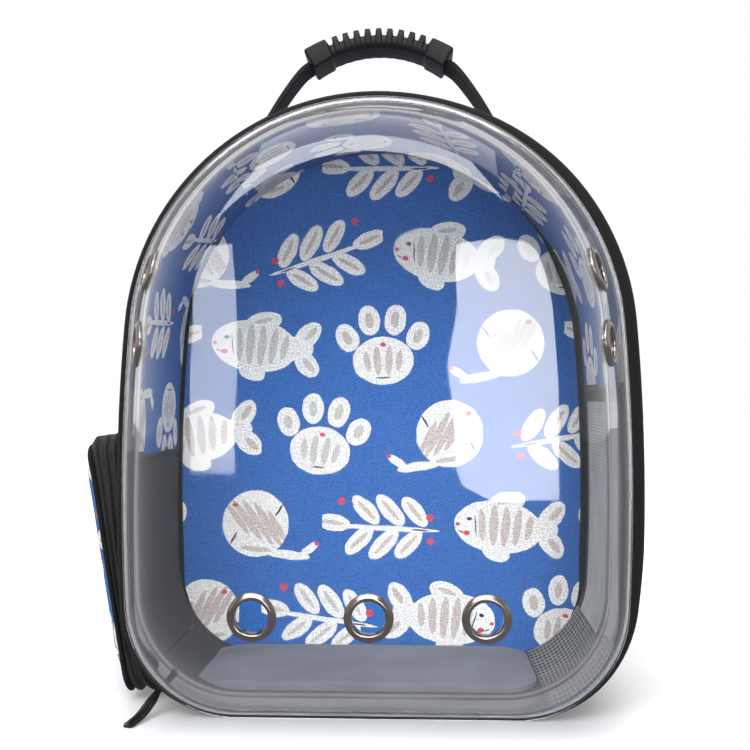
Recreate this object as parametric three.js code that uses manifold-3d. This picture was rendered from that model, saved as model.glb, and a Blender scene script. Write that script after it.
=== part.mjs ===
// Bubble pet carrier backpack, standing on its base and zipped shut.
// Millimetres. X is to the viewer's right, Y goes into the picture towards the wearer, Z is up.
// The origin is the middle of the base panel's underside.
// Seen from the front the bag is an arch: a flat floor, two bottom corners, two slightly bowed
// sides and a round top, all tangent arcs. Every wall and trim follows that one outline, moved
// in or out. The clear shell is in front of the zip plane and the cloth body is behind it.

import * as THREE from 'three';
import { LoftGeometry } from 'three/addons/geometries/LoftGeometry.js';
import { mergeVertices } from 'three/addons/utils/BufferGeometryUtils.js';
import Module from 'manifold-3d';

// Outline of the shell's rim, seen from the front
const TOP_RADIUS = 168;
const SIDE_BULGE = 4;
const WIDEST_HEIGHT = 155;
const SHOULDER_RISE = 98;
const CORNER_RADIUS = 77;

// Cloth body behind the zip plane
const BODY_DEPTH = 160;
const CLOTH_WALL = 1.6;
const GUSSET_INSET = 1;
const GAP = 0.3;
const HEM_LEFT_HEIGHT = 176;
const HEM_RIGHT_HEIGHT = 224;
const FLOOR_SEAM_HEIGHT = 30;
const BASE_PANEL_THICKNESS = 2.7;
const BASE_PANEL_OVERHANG = 20;

// Clear shell in front of the zip plane
const SHELL_WALL = 2;
const SHELL_FLOOR = 1;
const FLANGE_THICKNESS = 2.5;
const FLANGE_LIP = 2.5;
const SHELL_WALL_DEPTH = 62;
const SHELL_DRAFT_DEG = 20;
const SHELL_EDGE_RADIUS = 40;
const FACE_SLOPE_DEG = 5;
const FACE_RISE = 6;
const FACE_RING_SHARES = [0.7, 0.3];
const LOWER_SWEEP = 1.25;
const CORNER_TIGHTENING = 0.5;

// Vent holes and their metal eyelets
const VENT_RADIUS = 10;
const EYELET_RADIUS = 14.8;
const EYELET_BARREL = 1.2;
const EYELET_RISE = 1.6;
const EYELET_LIP_RADIUS = 13;
const EYELET_REACH = 1.4;
const EYELET_LIP = 1;
const EYELET_SIDES = 12;
const EYELET_ROLL_OUTSIDE = { across: 0.75, edgeRise: 0.35 };
const EYELET_ROLL_INSIDE = { across: 0.3, edgeRise: 0.4 };
const FRONT_VENT_SPACING = 69.5;
const FRONT_VENT_HEIGHT = 86;
const SIDE_VENT_HEIGHTS = [250, 296];
const SIDE_VENT_DEPTH = 52;

// Black trim round the zip plane and round the back edge
const BAND_PROUD = 5;
const BINDING_WIDTH = 9;
const CHAIN_WIDTH = 6.5;
const CHAIN_PROUD = 2.6;
const BACK_BINDING_PROUD = 3;
const TRIM_FLOOR = 0.2;

// Slider and pull tab on the zip, at the lower left corner
const SLIDER_ANGLE_DEG = 229;
const SLIDER_LENGTH = 13;
const SLIDER_HEIGHT = 4;
const SLIDER_CORNER = 2;
const SLIDER_CHAMFER = { inset: 1.2, from: 0.4 };
const TAB_WIDTH = 8;
const TAB_THICKNESS = 1.6;
const TAB_FORWARD = 36;
const TAB_OUTWARD = 12;
const TAB_KNEE = { along: 0.55, height: 0.3 };
const TAB_NECK = 0.7;
const TAB_EDGE = 0.5;
const TAB_STEPS = 8;

// Mesh window in the right side
const WINDOW_LOW = 52;
const WINDOW_TOP_MARGIN = 16;
const WINDOW_FRONT_MARGIN = 12;
const WINDOW_BACK_MARGIN = 22;
const WINDOW_CORNER = 16;
const MESH_THICKNESS = 1;
const MESH_OVERLAP = 6;
const FRAME_WIDTH = 8;
const FRAME_THICKNESS = 2;

// Floor mat, back panel and back pad
const MAT_TOP = 16;
const MAT_FRONT_MARGIN = 20;
const MAT_BACK_MARGIN = 3;
const MAT_CORNER = 26;
const BACK_PANEL_THICKNESS = 2;
const BACK_PAD_THICKNESS = 14;
const BACK_PAD_MARGIN = 6;
const BACK_PAD_EDGE = 6;

// Bellows pocket on the left side
const POCKET_LOW = 6;
const POCKET_HEIGHT = 188;
const POCKET_PROJECTION = 40;
const POCKET_FOOT_WIDTH = 180;
const POCKET_FRONT_MARGIN = 6;
const POCKET_BACK_MARGIN = 26;
const POCKET_CORNER = 18;
const PLEAT_COUNT = 5;
const PLEAT_HEIGHT = 2.4;
const POCKET_WALL = 1.6;
const POCKET_FACE_THICKNESS = 2;
const POCKET_RIM = 5;
const MOUTH_WIDTH = 10;
const MOUTH_MARGIN = 22;

// Carrying handle on top
const HANDLE_ANCHOR_ANGLE_DEG = 55;
const HANDLE_TAIL_DEG = 14;
const HANDLE_WEBBING_WIDTH = 25;
const WEBBING_THICKNESS = 2.4;
const WEBBING_EDGE = 0.6;
const WEBBING_STEPS = 15;
const WEBBING_LIFT_AT_ANCHOR = 1;
const WEBBING_BELOW_GRIP = 0.25;
const WEBBING_BOW = { along: 0.45, outward: 3 };
const GRIP_HALF_LENGTH = 54;
const GRIP_CENTRE_RISE = 61;
const GRIP_ARCH = 14.5;
const GRIP_WIDTH = 30;
const GRIP_THICKNESS = 13;
const RIB_COUNT = 9;
const RIB_PITCH = 7.8;
const RIB_HEIGHT = 5;
const BLOCK_LENGTH = 17;
const BLOCK_THICKNESS = 19;
const BLOCK_WIDTH = 34;
const BLOCK_BEVEL = 1.5;
const GRIP_CORNER = 0.4;
const RIB_REST = -2;
const RIB_FOOT = 0.3;
const RIB_CROWN = 0.18;

// Shoulder straps behind the back pad
const STRAP_WIDTH = 62;
const STRAP_THICKNESS = 10;
const STRAP_ROOT_X = 46;
const STRAP_ROOT_BELOW_TOP = 42;
const STRAP_LENGTH_DOWN = 232;
const STRAP_BOW = 52;
const STRAP_SPREAD = 32;
const LOCK_WIDTH = 34;
const LOCK_HEIGHT = 26;
const LOCK_THICKNESS = 5;
const LOCK_SLOT = 5;
const LOCK_BAR = 4;
const STRAP_WEBBING_WIDTH = 25;
const STRAP_ANCHOR_INSET = 56;
const STRAP_ANCHOR_HEIGHT = 44;
const YOKE_HEIGHT = 30;
const YOKE_THICKNESS = 3;
const YOKE_MARGIN = 3;
const YOKE_CORNER = 5;
const STRAP_STEPS = 14;
const STRAP_TAPER = 0.45;
const STRAP_END_THICKNESS = 0.75;
const STRAP_EDGE = 0.35;
const STRAP_WEBBING_STEPS = 12;
const STRAP_WEBBING_DROP = 4;
const STRAP_WEBBING_SAG = { along: 0.55, inward: 0.7 };
const STRAP_TAIL = { inward: 4, lift: 1 };

// Named values worked out from the sizes above
const FRONT_Y = -BODY_DEPTH / 2;
const BACK_Y = BODY_DEPTH / 2;
const TOP_CENTRE_Z = WIDEST_HEIGHT + SHOULDER_RISE;
const HEIGHT = TOP_CENTRE_Z + TOP_RADIUS;
const SIDE_RADIUS = TOP_RADIUS + SIDE_BULGE / 2 + SHOULDER_RISE ** 2 / (2 * SIDE_BULGE);
const SIDE_CENTRE_X = TOP_RADIUS + SIDE_BULGE - SIDE_RADIUS;
const GUSSET_FLOOR = BASE_PANEL_THICKNESS + GAP;
const INNER_INSET = GUSSET_INSET + CLOTH_WALL;
const INNER_FLOOR = GUSSET_FLOOR + CLOTH_WALL;
const CHAIN_Y = FRONT_Y + BINDING_WIDTH + 2 * GAP;
const PIPING_Y = CHAIN_Y + CHAIN_WIDTH + GAP;
const BAND_BACK_Y = PIPING_Y + BINDING_WIDTH;
const BACK_BINDING_Y = BACK_Y - BINDING_WIDTH;
const PAD_BACK_Y = BACK_Y + GAP + BACK_PAD_THICKNESS;

// Number of straight steps that stand for each arc of the outline and of the shell's edge
const STEPS = { floor: 1, corner: 6, side: 3, top: 9, shellEdge: 5 };

const wasm = await Module();
wasm.setup();

const degrees = THREE.MathUtils.degToRad;

// Solids: closed meshes joined and cut

function toSolid(geometry) {
  const bare = new THREE.BufferGeometry();
  bare.setAttribute('position', geometry.getAttribute('position'));
  bare.setIndex(geometry.index);
  const merged = mergeVertices(bare, 1e-4);
  return new wasm.Manifold(
    new wasm.Mesh({
      numProp: 3,
      vertProperties: new Float32Array(merged.attributes.position.array),
      triVerts: new Uint32Array(merged.index.array),
    }),
  );
}

function toGeometry(solid) {
  const mesh = solid.getMesh();
  const geometry = new THREE.BufferGeometry();
  geometry.setAttribute('position', new THREE.BufferAttribute(mesh.vertProperties, 3));
  geometry.setIndex(new THREE.BufferAttribute(mesh.triVerts, 1));
  geometry.computeVertexNormals();
  return geometry;
}

function box(low, high) {
  const size = new THREE.Vector3().subVectors(high, low);
  const centre = new THREE.Vector3().addVectors(low, high).multiplyScalar(0.5);
  return toSolid(new THREE.BoxGeometry(size.x, size.y, size.z).translate(...centre));
}

// The outline's arcs for a wall moved inwards by inset, with its floor at the height floor
function outlineArcs(inset, floor, corner = CORNER_RADIUS - floor) {
  const sideRadius = SIDE_RADIUS - inset;
  const cornerZ = floor + corner;
  const cornerX =
    SIDE_CENTRE_X + Math.sqrt((sideRadius - corner) ** 2 - (WIDEST_HEIGHT - cornerZ) ** 2);
  return {
    sideRadius,
    corner: new THREE.Vector2(cornerX, cornerZ),
    cornerRadius: corner,
    topRadius: TOP_RADIUS - inset,
    heelAngle: Math.atan2(cornerZ - WIDEST_HEIGHT, cornerX - SIDE_CENTRE_X),
    shoulderAngle: Math.atan2(SHOULDER_RISE, -SIDE_CENTRE_X),
  };
}

function arcPoints(centre, radius, from, to, steps) {
  return Array.from({ length: steps }, (_, k) => {
    const angle = from + ((to - from) * k) / steps;
    return new THREE.Vector2(
      centre.x + radius * Math.cos(angle),
      centre.y + radius * Math.sin(angle),
    );
  });
}

// Closed outline as (x, z) points, counterclockwise seen from the front, from the floor's middle
function outline(inset, floor, corner) {
  const arcs = outlineArcs(inset, floor, corner);
  const sideCentre = new THREE.Vector2(SIDE_CENTRE_X, WIDEST_HEIGHT);
  const topCentre = new THREE.Vector2(0, TOP_CENTRE_Z);
  const flat = Array.from(
    { length: STEPS.floor },
    (_, k) => new THREE.Vector2((arcs.corner.x * k) / STEPS.floor, floor),
  );
  const right = [
    ...flat,
    ...arcPoints(arcs.corner, arcs.cornerRadius, -Math.PI / 2, arcs.heelAngle, STEPS.corner),
    ...arcPoints(sideCentre, arcs.sideRadius, arcs.heelAngle, arcs.shoulderAngle, STEPS.side),
    ...arcPoints(topCentre, arcs.topRadius, arcs.shoulderAngle, Math.PI / 2, STEPS.top),
  ];
  const apex = new THREE.Vector2(0, TOP_CENTRE_Z + arcs.topRadius);
  const left = right.slice(1).reverse().map((p) => new THREE.Vector2(-p.x, p.y));
  return [...right, apex, ...left];
}

// Half width of that outline at a height
function halfWidthAt(z, inset, floor) {
  const arcs = outlineArcs(inset, floor);
  const shoulderZ = WIDEST_HEIGHT + arcs.sideRadius * Math.sin(arcs.shoulderAngle);
  const heelZ = WIDEST_HEIGHT + arcs.sideRadius * Math.sin(arcs.heelAngle);
  if (z > shoulderZ) return Math.sqrt(arcs.topRadius ** 2 - (z - TOP_CENTRE_Z) ** 2);
  if (z > heelZ) return SIDE_CENTRE_X + Math.sqrt(arcs.sideRadius ** 2 - (z - WIDEST_HEIGHT) ** 2);
  return arcs.corner.x + Math.sqrt(arcs.cornerRadius ** 2 - (z - arcs.corner.y) ** 2);
}

const atDepth = (points, y) => points.map((p) => new THREE.Vector3(p.x, y, p.y));

// Solid between outlines given from back to front
function loft(sections) {
  return toSolid(new LoftGeometry(sections, { closed: true, capStart: true, capEnd: true }));
}

// Hoop round the bag: its cross-section is a closed loop of { y, inset, floor },
// first the outer side from back to front, then the inner side from front to back
function hoop(loop) {
  const sections = [...loop, loop[0]].map((c) => atDepth(outline(c.inset, c.floor), c.y));
  return toSolid(new LoftGeometry(sections, { closed: true, capStart: false, capEnd: false }));
}

// Flat-sided wall of the body between two depths
function wallHoop(frontY, backY, outer, inner) {
  return hoop([
    { y: backY, ...outer },
    { y: frontY, ...outer },
    { y: frontY, ...inner },
    { y: backY, ...inner },
  ]);
}

// Rounded trim seated on the gusset's outer face
function trimHoop(frontY, backY, proud) {
  const seat = { inset: GUSSET_INSET - GAP, floor: GUSSET_FLOOR - GAP };
  const shoulder = (backY - frontY) / 4;
  const halfway = { inset: (seat.inset - proud) / 2, floor: (seat.floor + TRIM_FLOOR) / 2 };
  const crown = { inset: -proud, floor: TRIM_FLOOR };
  return hoop([
    { y: backY, ...halfway },
    { y: backY - shoulder, ...crown },
    { y: frontY + shoulder, ...crown },
    { y: frontY, ...halfway },
    { y: frontY, ...seat },
    { y: backY, ...seat },
  ]);
}

// Rounded rectangle, counterclockwise from u to v
function roundedRectangle(halfU, halfV, radius, cornerSteps = 3) {
  const limit = Math.min(radius, halfU * 0.95, halfV * 0.95);
  const corners = [
    [1, 1],
    [-1, 1],
    [-1, -1],
    [1, -1],
  ];
  return corners.flatMap(([u, v], k) => {
    const centre = new THREE.Vector2(u * (halfU - limit), v * (halfV - limit));
    const from = (k * Math.PI) / 2;
    return Array.from({ length: cornerSteps + 1 }, (_, j) => {
      const angle = from + ((Math.PI / 2) * j) / cornerSteps;
      return new THREE.Vector2(
        centre.x + limit * Math.cos(angle),
        centre.y + limit * Math.sin(angle),
      );
    });
  });
}

// Band or pad along a curve: side is the direction of its width,
// and section(t) gives its half width, half thickness and edge radius
function ribbon(curve, steps, side, section, edgeSteps = 1) {
  const sections = Array.from({ length: steps + 1 }, (_, k) => {
    const t = k / steps;
    const centre = curve.getPoint(t);
    const along = curve.getTangent(t);
    const across = side.clone().addScaledVector(along, -side.dot(along)).normalize();
    const normal = new THREE.Vector3().crossVectors(along, across);
    const { halfWidth, halfThickness, edge } = section(t);
    return roundedRectangle(halfWidth, halfThickness, edge, edgeSteps).map((p) =>
      centre.clone().addScaledVector(across, p.x).addScaledVector(normal, p.y),
    );
  });
  return loft(sections);
}

// The finished object
const backpack = new THREE.Group();

function finish(color, roughness, metalness = 0) {
  return new THREE.MeshStandardMaterial({ color, roughness, metalness });
}

const FINISHES = {
  clear: new THREE.MeshStandardMaterial({
    color: 0xe4e8ea,
    roughness: 0.05,
    metalness: 0,
    transparent: true,
    opacity: 0.35,
  }),
  print: finish(0x325ab4, 0.9),
  black: finish(0x1b1b1b, 0.85),
  webbing: finish(0x202020, 0.8),
  mesh: finish(0x8d8f90, 0.9),
  mat: finish(0x84868f, 0.95),
  lining: finish(0x5d6066, 0.95),
  plastic: finish(0x161616, 0.45),
  metal: finish(0x6e6862, 0.25, 1),
};

// A placed part's own Y axis turns to place.normal and its X axis to place.across
function addPart(name, solid, material, place) {
  const mesh = new THREE.Mesh(solid.isBufferGeometry ? solid : toGeometry(solid), material);
  mesh.name = name;
  if (place) {
    const third = new THREE.Vector3().crossVectors(place.across, place.normal);
    const turn = new THREE.Matrix4().makeBasis(place.across, place.normal, third);
    mesh.quaternion.setFromRotationMatrix(turn);
    mesh.position.copy(place.point);
  }
  backpack.add(mesh);
}

// Clear shell

// Cross-section of the shell from its wall to the face's edge, as depth in front of the
// zip plane and inset from the rim, for the face that lies under metres below the outside
function shellProfile(under) {
  const draft = degrees(SHELL_DRAFT_DEG);
  const lastAngle = Math.PI / 2 - degrees(FACE_SLOPE_DEG);
  const arcStart = {
    depth: SHELL_WALL_DEPTH,
    inset: FLANGE_LIP + (SHELL_WALL_DEPTH - FLANGE_THICKNESS) * Math.tan(draft),
  };
  const centre = {
    depth: arcStart.depth - SHELL_EDGE_RADIUS * Math.sin(draft),
    inset: arcStart.inset + SHELL_EDGE_RADIUS * Math.cos(draft),
  };
  const radius = SHELL_EDGE_RADIUS - under;
  const edge = Array.from({ length: STEPS.shellEdge + 1 }, (_, k) => {
    const angle = draft + ((lastAngle - draft) * k) / STEPS.shellEdge;
    return {
      depth: centre.depth + radius * Math.sin(angle),
      inset: centre.inset - radius * Math.cos(angle),
    };
  });
  const rootDepth = under > 0 ? -1 : FLANGE_THICKNESS;
  const root = {
    depth: rootDepth,
    inset: edge[0].inset - (edge[0].depth - rootDepth) * Math.tan(draft),
  };
  return [root, ...edge];
}

function shellOutline({ inset, depth }) {
  const floor = SHELL_FLOOR + inset * LOWER_SWEEP;
  const corner = CORNER_RADIUS - SHELL_FLOOR - inset * CORNER_TIGHTENING;
  return atDepth(outline(inset, floor, corner), FRONT_Y - depth);
}

// Rings that shrink from the face's edge to its middle while the face domes forward
function faceRings(edgeRing) {
  const low = Math.min(...edgeRing.map((p) => p.z));
  const high = Math.max(...edgeRing.map((p) => p.z));
  const middle = new THREE.Vector3(0, edgeRing[0].y, (low + high) / 2);
  return FACE_RING_SHARES.map((share) =>
    edgeRing.map((p) => {
      const q = middle.clone().lerp(p, share);
      q.y -= FACE_RISE * (1 - share ** 2);
      return q;
    }),
  );
}

function shellSolid(under) {
  const rings = shellProfile(under).map(shellOutline);
  const flange = [
    shellOutline({ inset: 0, depth: 0 }),
    shellOutline({ inset: 0, depth: FLANGE_THICKNESS }),
  ];
  return loft([...(under > 0 ? [] : flange), ...rings, ...faceRings(rings.at(-1))]);
}

const shellOutside = shellSolid(0);

// Where a straight line from outside meets the shell, and which way the shell faces there
function ventPlace(origin, direction) {
  const target = new THREE.Mesh(toGeometry(shellOutside));
  const hit = new THREE.Raycaster(origin, direction).intersectObject(target)[0];
  const normal = hit.face.normal.clone();
  const across = new THREE.Vector3(0, 0, 1).cross(normal).normalize();
  return { point: hit.point, normal, across };
}

const FAR = 10 * HEIGHT;
const frontVents = [-1, 0, 1].map((k) =>
  ventPlace(
    new THREE.Vector3(k * FRONT_VENT_SPACING, -FAR, FRONT_VENT_HEIGHT),
    new THREE.Vector3(0, 1, 0),
  ),
);
const sideVents = [-1, 1].flatMap((side) =>
  SIDE_VENT_HEIGHTS.map((z) =>
    ventPlace(
      new THREE.Vector3(side * FAR, FRONT_Y - SIDE_VENT_DEPTH, z),
      new THREE.Vector3(-side, 0, 0),
    ),
  ),
);
const ventNames = [
  ...['left', 'middle', 'right'].map((word) => `eyelet_front_${word}`),
  ...['left', 'right'].flatMap((side) =>
    SIDE_VENT_HEIGHTS.map((_, k) => `eyelet_${side}_${k === 0 ? 'lower' : 'upper'}`),
  ),
];
const vents = [...frontVents, ...sideVents];

function ventHole({ point, normal }) {
  const radius = VENT_RADIUS + EYELET_BARREL + GAP;
  const turn = new THREE.Quaternion().setFromUnitVectors(new THREE.Vector3(0, 1, 0), normal);
  const hole = new THREE.CylinderGeometry(radius, radius, 8 * SHELL_WALL, 24);
  return toSolid(hole.applyQuaternion(turn).translate(...point));
}

function clearShell() {
  const hollow = shellOutside.subtract(shellSolid(SHELL_WALL));
  return vents.reduce((shell, vent) => shell.subtract(ventHole(vent)), hollow);
}

addPart('clear_shell', clearShell(), FINISHES.clear);

// Eyelet: a rolled rim outside the shell, a barrel through the hole and a lip inside
function eyelet() {
  const low = -(SHELL_WALL + EYELET_REACH + EYELET_LIP);
  const barrel = VENT_RADIUS + EYELET_BARREL;
  const crown = GAP + EYELET_RISE;
  const profile = [
    [VENT_RADIUS, low],
    [EYELET_LIP_RADIUS, low],
    [EYELET_LIP_RADIUS, low + EYELET_LIP],
    [barrel, low + EYELET_LIP],
    [barrel, GAP],
    [EYELET_RADIUS, GAP],
    [EYELET_RADIUS, GAP + EYELET_RISE * EYELET_ROLL_OUTSIDE.edgeRise],
    [THREE.MathUtils.lerp(VENT_RADIUS, EYELET_RADIUS, EYELET_ROLL_OUTSIDE.across), crown],
    [THREE.MathUtils.lerp(VENT_RADIUS, EYELET_RADIUS, EYELET_ROLL_INSIDE.across), crown],
    [VENT_RADIUS, GAP + EYELET_RISE * EYELET_ROLL_INSIDE.edgeRise],
    [VENT_RADIUS, low],
  ];
  return new THREE.LatheGeometry(profile.map(([r, h]) => new THREE.Vector2(r, h)), EYELET_SIDES);
}

vents.forEach((place, k) => addPart(ventNames[k], eyelet(), FINISHES.metal, place));

// Trim round the zip plane and the back edge

addPart('front_binding', trimHoop(FRONT_Y + GAP, FRONT_Y + BINDING_WIDTH, BAND_PROUD), FINISHES.black);
addPart('zipper_chain', trimHoop(CHAIN_Y, CHAIN_Y + CHAIN_WIDTH, CHAIN_PROUD), FINISHES.plastic);
addPart('rear_piping', trimHoop(PIPING_Y, BAND_BACK_Y, BAND_PROUD), FINISHES.black);
addPart('back_binding', trimHoop(BACK_BINDING_Y, BACK_Y, BACK_BINDING_PROUD), FINISHES.black);

// Cloth body: one wall round the cabin, cut at its hems into arch, sides and floor

const bodyWall = wallHoop(
  FRONT_Y + GAP,
  BACK_Y,
  { inset: GUSSET_INSET, floor: GUSSET_FLOOR },
  { inset: INNER_INSET, floor: INNER_FLOOR },
);

function slab(left, right, low, high) {
  return box(new THREE.Vector3(left, -FAR, low), new THREE.Vector3(right, FAR, high));
}

const seam = GAP / 2;
addPart(
  'gusset_arch',
  bodyWall
    .subtract(slab(-FAR, 0, -FAR, HEM_LEFT_HEIGHT + seam))
    .subtract(slab(0, FAR, -FAR, HEM_RIGHT_HEIGHT + seam)),
  FINISHES.print,
);
addPart('body_floor', bodyWall.intersect(slab(-FAR, FAR, -FAR, FLOOR_SEAM_HEIGHT - seam)), FINISHES.lining);
addPart(
  'side_wall_left',
  bodyWall.intersect(slab(-FAR, 0, FLOOR_SEAM_HEIGHT + seam, HEM_LEFT_HEIGHT - seam)),
  FINISHES.lining,
);

// Window in the right side, seen from the side as a rounded rectangle
const WINDOW = {
  front: BAND_BACK_Y + WINDOW_FRONT_MARGIN,
  back: BACK_BINDING_Y - WINDOW_BACK_MARGIN,
  low: WINDOW_LOW,
  high: HEM_RIGHT_HEIGHT - WINDOW_TOP_MARGIN,
};

function windowPrism(grow) {
  const halfY = (WINDOW.back - WINDOW.front) / 2 + grow;
  const halfZ = (WINDOW.high - WINDOW.low) / 2 + grow;
  const middle = new THREE.Vector2(
    (WINDOW.front + WINDOW.back) / 2,
    (WINDOW.low + WINDOW.high) / 2,
  );
  const ring = roundedRectangle(halfY, halfZ, WINDOW_CORNER + grow);
  const at = (x) => ring.map((p) => new THREE.Vector3(x, middle.x + p.x, middle.y + p.y));
  return loft([at(0), at(FAR)]);
}

addPart(
  'side_wall_right',
  bodyWall
    .intersect(slab(0, FAR, FLOOR_SEAM_HEIGHT + seam, HEM_RIGHT_HEIGHT - seam))
    .subtract(windowPrism(0)),
  FINISHES.lining,
);

function bodyHoop(from, to, floorFrom, floorTo) {
  return wallHoop(FRONT_Y, BACK_Y, { inset: from, floor: floorFrom }, { inset: to, floor: floorTo });
}

const meshInset = INNER_INSET + GAP;
const meshFloor = INNER_FLOOR + GAP;
addPart(
  'window_mesh',
  bodyHoop(meshInset, meshInset + MESH_THICKNESS, meshFloor, meshFloor + MESH_THICKNESS)
    .intersect(windowPrism(MESH_OVERLAP)),
  FINISHES.mesh,
);
const frameInset = GUSSET_INSET - GAP;
const frameFloor = GUSSET_FLOOR - GAP;
addPart(
  'window_frame',
  bodyHoop(frameInset - FRAME_THICKNESS, frameInset, frameFloor - FRAME_THICKNESS, frameFloor)
    .intersect(windowPrism(FRAME_WIDTH))
    .subtract(windowPrism(0)),
  FINISHES.black,
);

// Base panel under the floor, between the trim and the back binding
const baseHalfLength = outlineArcs(GUSSET_INSET, GUSSET_FLOOR).corner.x + BASE_PANEL_OVERHANG;
addPart(
  'base_panel',
  wallHoop(
    BAND_BACK_Y + GAP,
    BACK_BINDING_Y - GAP,
    { inset: GUSSET_INSET - GAP - BASE_PANEL_THICKNESS, floor: 0 },
    { inset: GUSSET_INSET - GAP, floor: BASE_PANEL_THICKNESS },
  ).intersect(slab(-baseHalfLength, baseHalfLength, -FAR, CORNER_RADIUS)),
  FINISHES.black,
);

// Floor mat: fills the bottom of the cabin up to its top, with round front corners
function floorMat() {
  const inside = outline(INNER_INSET + GAP, INNER_FLOOR + GAP);
  const front = FRONT_Y + MAT_FRONT_MARGIN;
  const back = BACK_Y - BACK_PANEL_THICKNESS - MAT_BACK_MARGIN;
  const filled = loft([atDepth(inside, back), atDepth(inside, front)]);
  const halfX = halfWidthAt(MAT_TOP, INNER_INSET + GAP, INNER_FLOOR + GAP);
  const plan = roundedRectangle(halfX, (back - front) / 2, MAT_CORNER, 5);
  const at = (z) => plan.map((p) => new THREE.Vector3(p.x, p.y + (front + back) / 2, z));
  return filled.intersect(loft([at(0), at(MAT_TOP)]));
}

addPart('floor_mat', floorMat(), FINISHES.mat);

// Back of the cabin: printed panel inside the body wall, pad behind it
function backPanel() {
  const ring = outline(INNER_INSET + GAP, INNER_FLOOR + GAP);
  return loft([atDepth(ring, BACK_Y), atDepth(ring, BACK_Y - BACK_PANEL_THICKNESS)]);
}

function backPad() {
  const edge = Math.min(BACK_PAD_EDGE, BACK_PAD_THICKNESS * 0.8);
  const ring = (extra) =>
    outline(INNER_INSET + BACK_PAD_MARGIN + extra, INNER_FLOOR + BACK_PAD_MARGIN + extra);
  return loft([
    atDepth(ring(edge), PAD_BACK_Y),
    atDepth(ring(edge * 0.3), PAD_BACK_Y - edge * 0.3),
    atDepth(ring(0), PAD_BACK_Y - edge),
    atDepth(ring(0), BACK_Y + GAP),
  ]);
}

addPart('back_panel', backPanel(), FINISHES.print);
addPart('back_pad', backPad(), FINISHES.black);

// Zip slider and its pull tab

function sliderPlace() {
  const arcs = outlineArcs(-CHAIN_PROUD, TRIM_FLOOR);
  const angle = degrees(SLIDER_ANGLE_DEG);
  const normal = new THREE.Vector3(Math.cos(angle), 0, Math.sin(angle));
  const reach = arcs.cornerRadius + GAP + SLIDER_HEIGHT / 2;
  const point = new THREE.Vector3(
    -arcs.corner.x + reach * normal.x,
    CHAIN_Y + CHAIN_WIDTH / 2,
    arcs.corner.y + reach * normal.z,
  );
  return { point, normal, across: new THREE.Vector3(0, 1, 0) };
}

function sliderBody() {
  const ring = (shrink) =>
    roundedRectangle(SLIDER_LENGTH / 2 - shrink, CHAIN_WIDTH / 2 - shrink, SLIDER_CORNER);
  const at = (h, shrink) => ring(shrink).map((p) => new THREE.Vector3(p.y, h, p.x));
  const half = SLIDER_HEIGHT / 2;
  return loft([
    at(-half, 0),
    at(half * SLIDER_CHAMFER.from, 0),
    at(half, SLIDER_CHAMFER.inset),
  ]);
}

const slider = sliderPlace();
addPart('zipper_slider', sliderBody(), FINISHES.plastic, slider);

function pullTab() {
  const lift = SLIDER_HEIGHT / 2 + 2 * GAP + TAB_THICKNESS / 2;
  const start = slider.point.clone().addScaledVector(slider.normal, lift);
  start.y -= CHAIN_WIDTH / 4;
  const lie = TAB_THICKNESS / 2 + GAP;
  const tip = new THREE.Vector3(start.x - TAB_OUTWARD, start.y - TAB_FORWARD, lie);
  const knee = start.clone().lerp(tip, TAB_KNEE.along);
  knee.z = Math.max(lie, start.z * TAB_KNEE.height);
  const curve = new THREE.CatmullRomCurve3([start, knee, tip]);
  const across = new THREE.Vector3().subVectors(tip, start).cross(new THREE.Vector3(0, 0, 1));
  return ribbon(curve, TAB_STEPS, across.normalize(), (t) => ({
    halfWidth: (TAB_WIDTH / 2) * THREE.MathUtils.lerp(TAB_NECK, 1, Math.min(1, 3 * t)),
    halfThickness: TAB_THICKNESS / 2,
    edge: TAB_EDGE,
  }));
}

addPart('zipper_pull_tab', pullTab(), FINISHES.plastic);

// Bellows pocket on the left

const POCKET = {
  front: BAND_BACK_Y + POCKET_FRONT_MARGIN,
  back: BACK_BINDING_Y - POCKET_BACK_MARGIN,
  low: POCKET_LOW,
  high: POCKET_LOW + POCKET_HEIGHT,
};

// Steps along each side of the pocket, so that it follows the body's round bottom corner
const POCKET_SIDE_STEPS = 5;

// Point of the pocket at depth y and height z, from share 0 at the body to share 1 at its face
function pocketPoint(y, z, share) {
  const body = halfWidthAt(z, INNER_INSET, INNER_FLOOR);
  const top = halfWidthAt(POCKET.high, GUSSET_INSET, GUSSET_FLOOR) + POCKET_PROJECTION;
  const face = THREE.MathUtils.mapLinear(z, POCKET.low, POCKET.high, POCKET_FOOT_WIDTH, top);
  return new THREE.Vector3(-THREE.MathUtils.lerp(body, face, share), y, z);
}

// Ring of the pocket's side, shrunk inwards, as a loop that goes round the direction -X
function pocketRing(shrink, share) {
  const halfZ = (POCKET.high - POCKET.low) / 2 - shrink;
  const halfY = (POCKET.back - POCKET.front) / 2 - shrink;
  const middleZ = (POCKET.high + POCKET.low) / 2;
  const middleY = (POCKET.back + POCKET.front) / 2;
  const cornerSteps = 2;
  const ring = roundedRectangle(halfZ, halfY, POCKET_CORNER - shrink, cornerSteps);
  const stepped = ring.flatMap((p, k) => {
    if (k % (cornerSteps + 1) !== cornerSteps) return [p];
    const next = ring[(k + 1) % ring.length];
    return Array.from({ length: POCKET_SIDE_STEPS }, (_, j) =>
      p.clone().lerp(next, j / POCKET_SIDE_STEPS),
    );
  });
  return stepped.map((p) => pocketPoint(middleY + p.y, middleZ + p.x, share));
}

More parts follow.
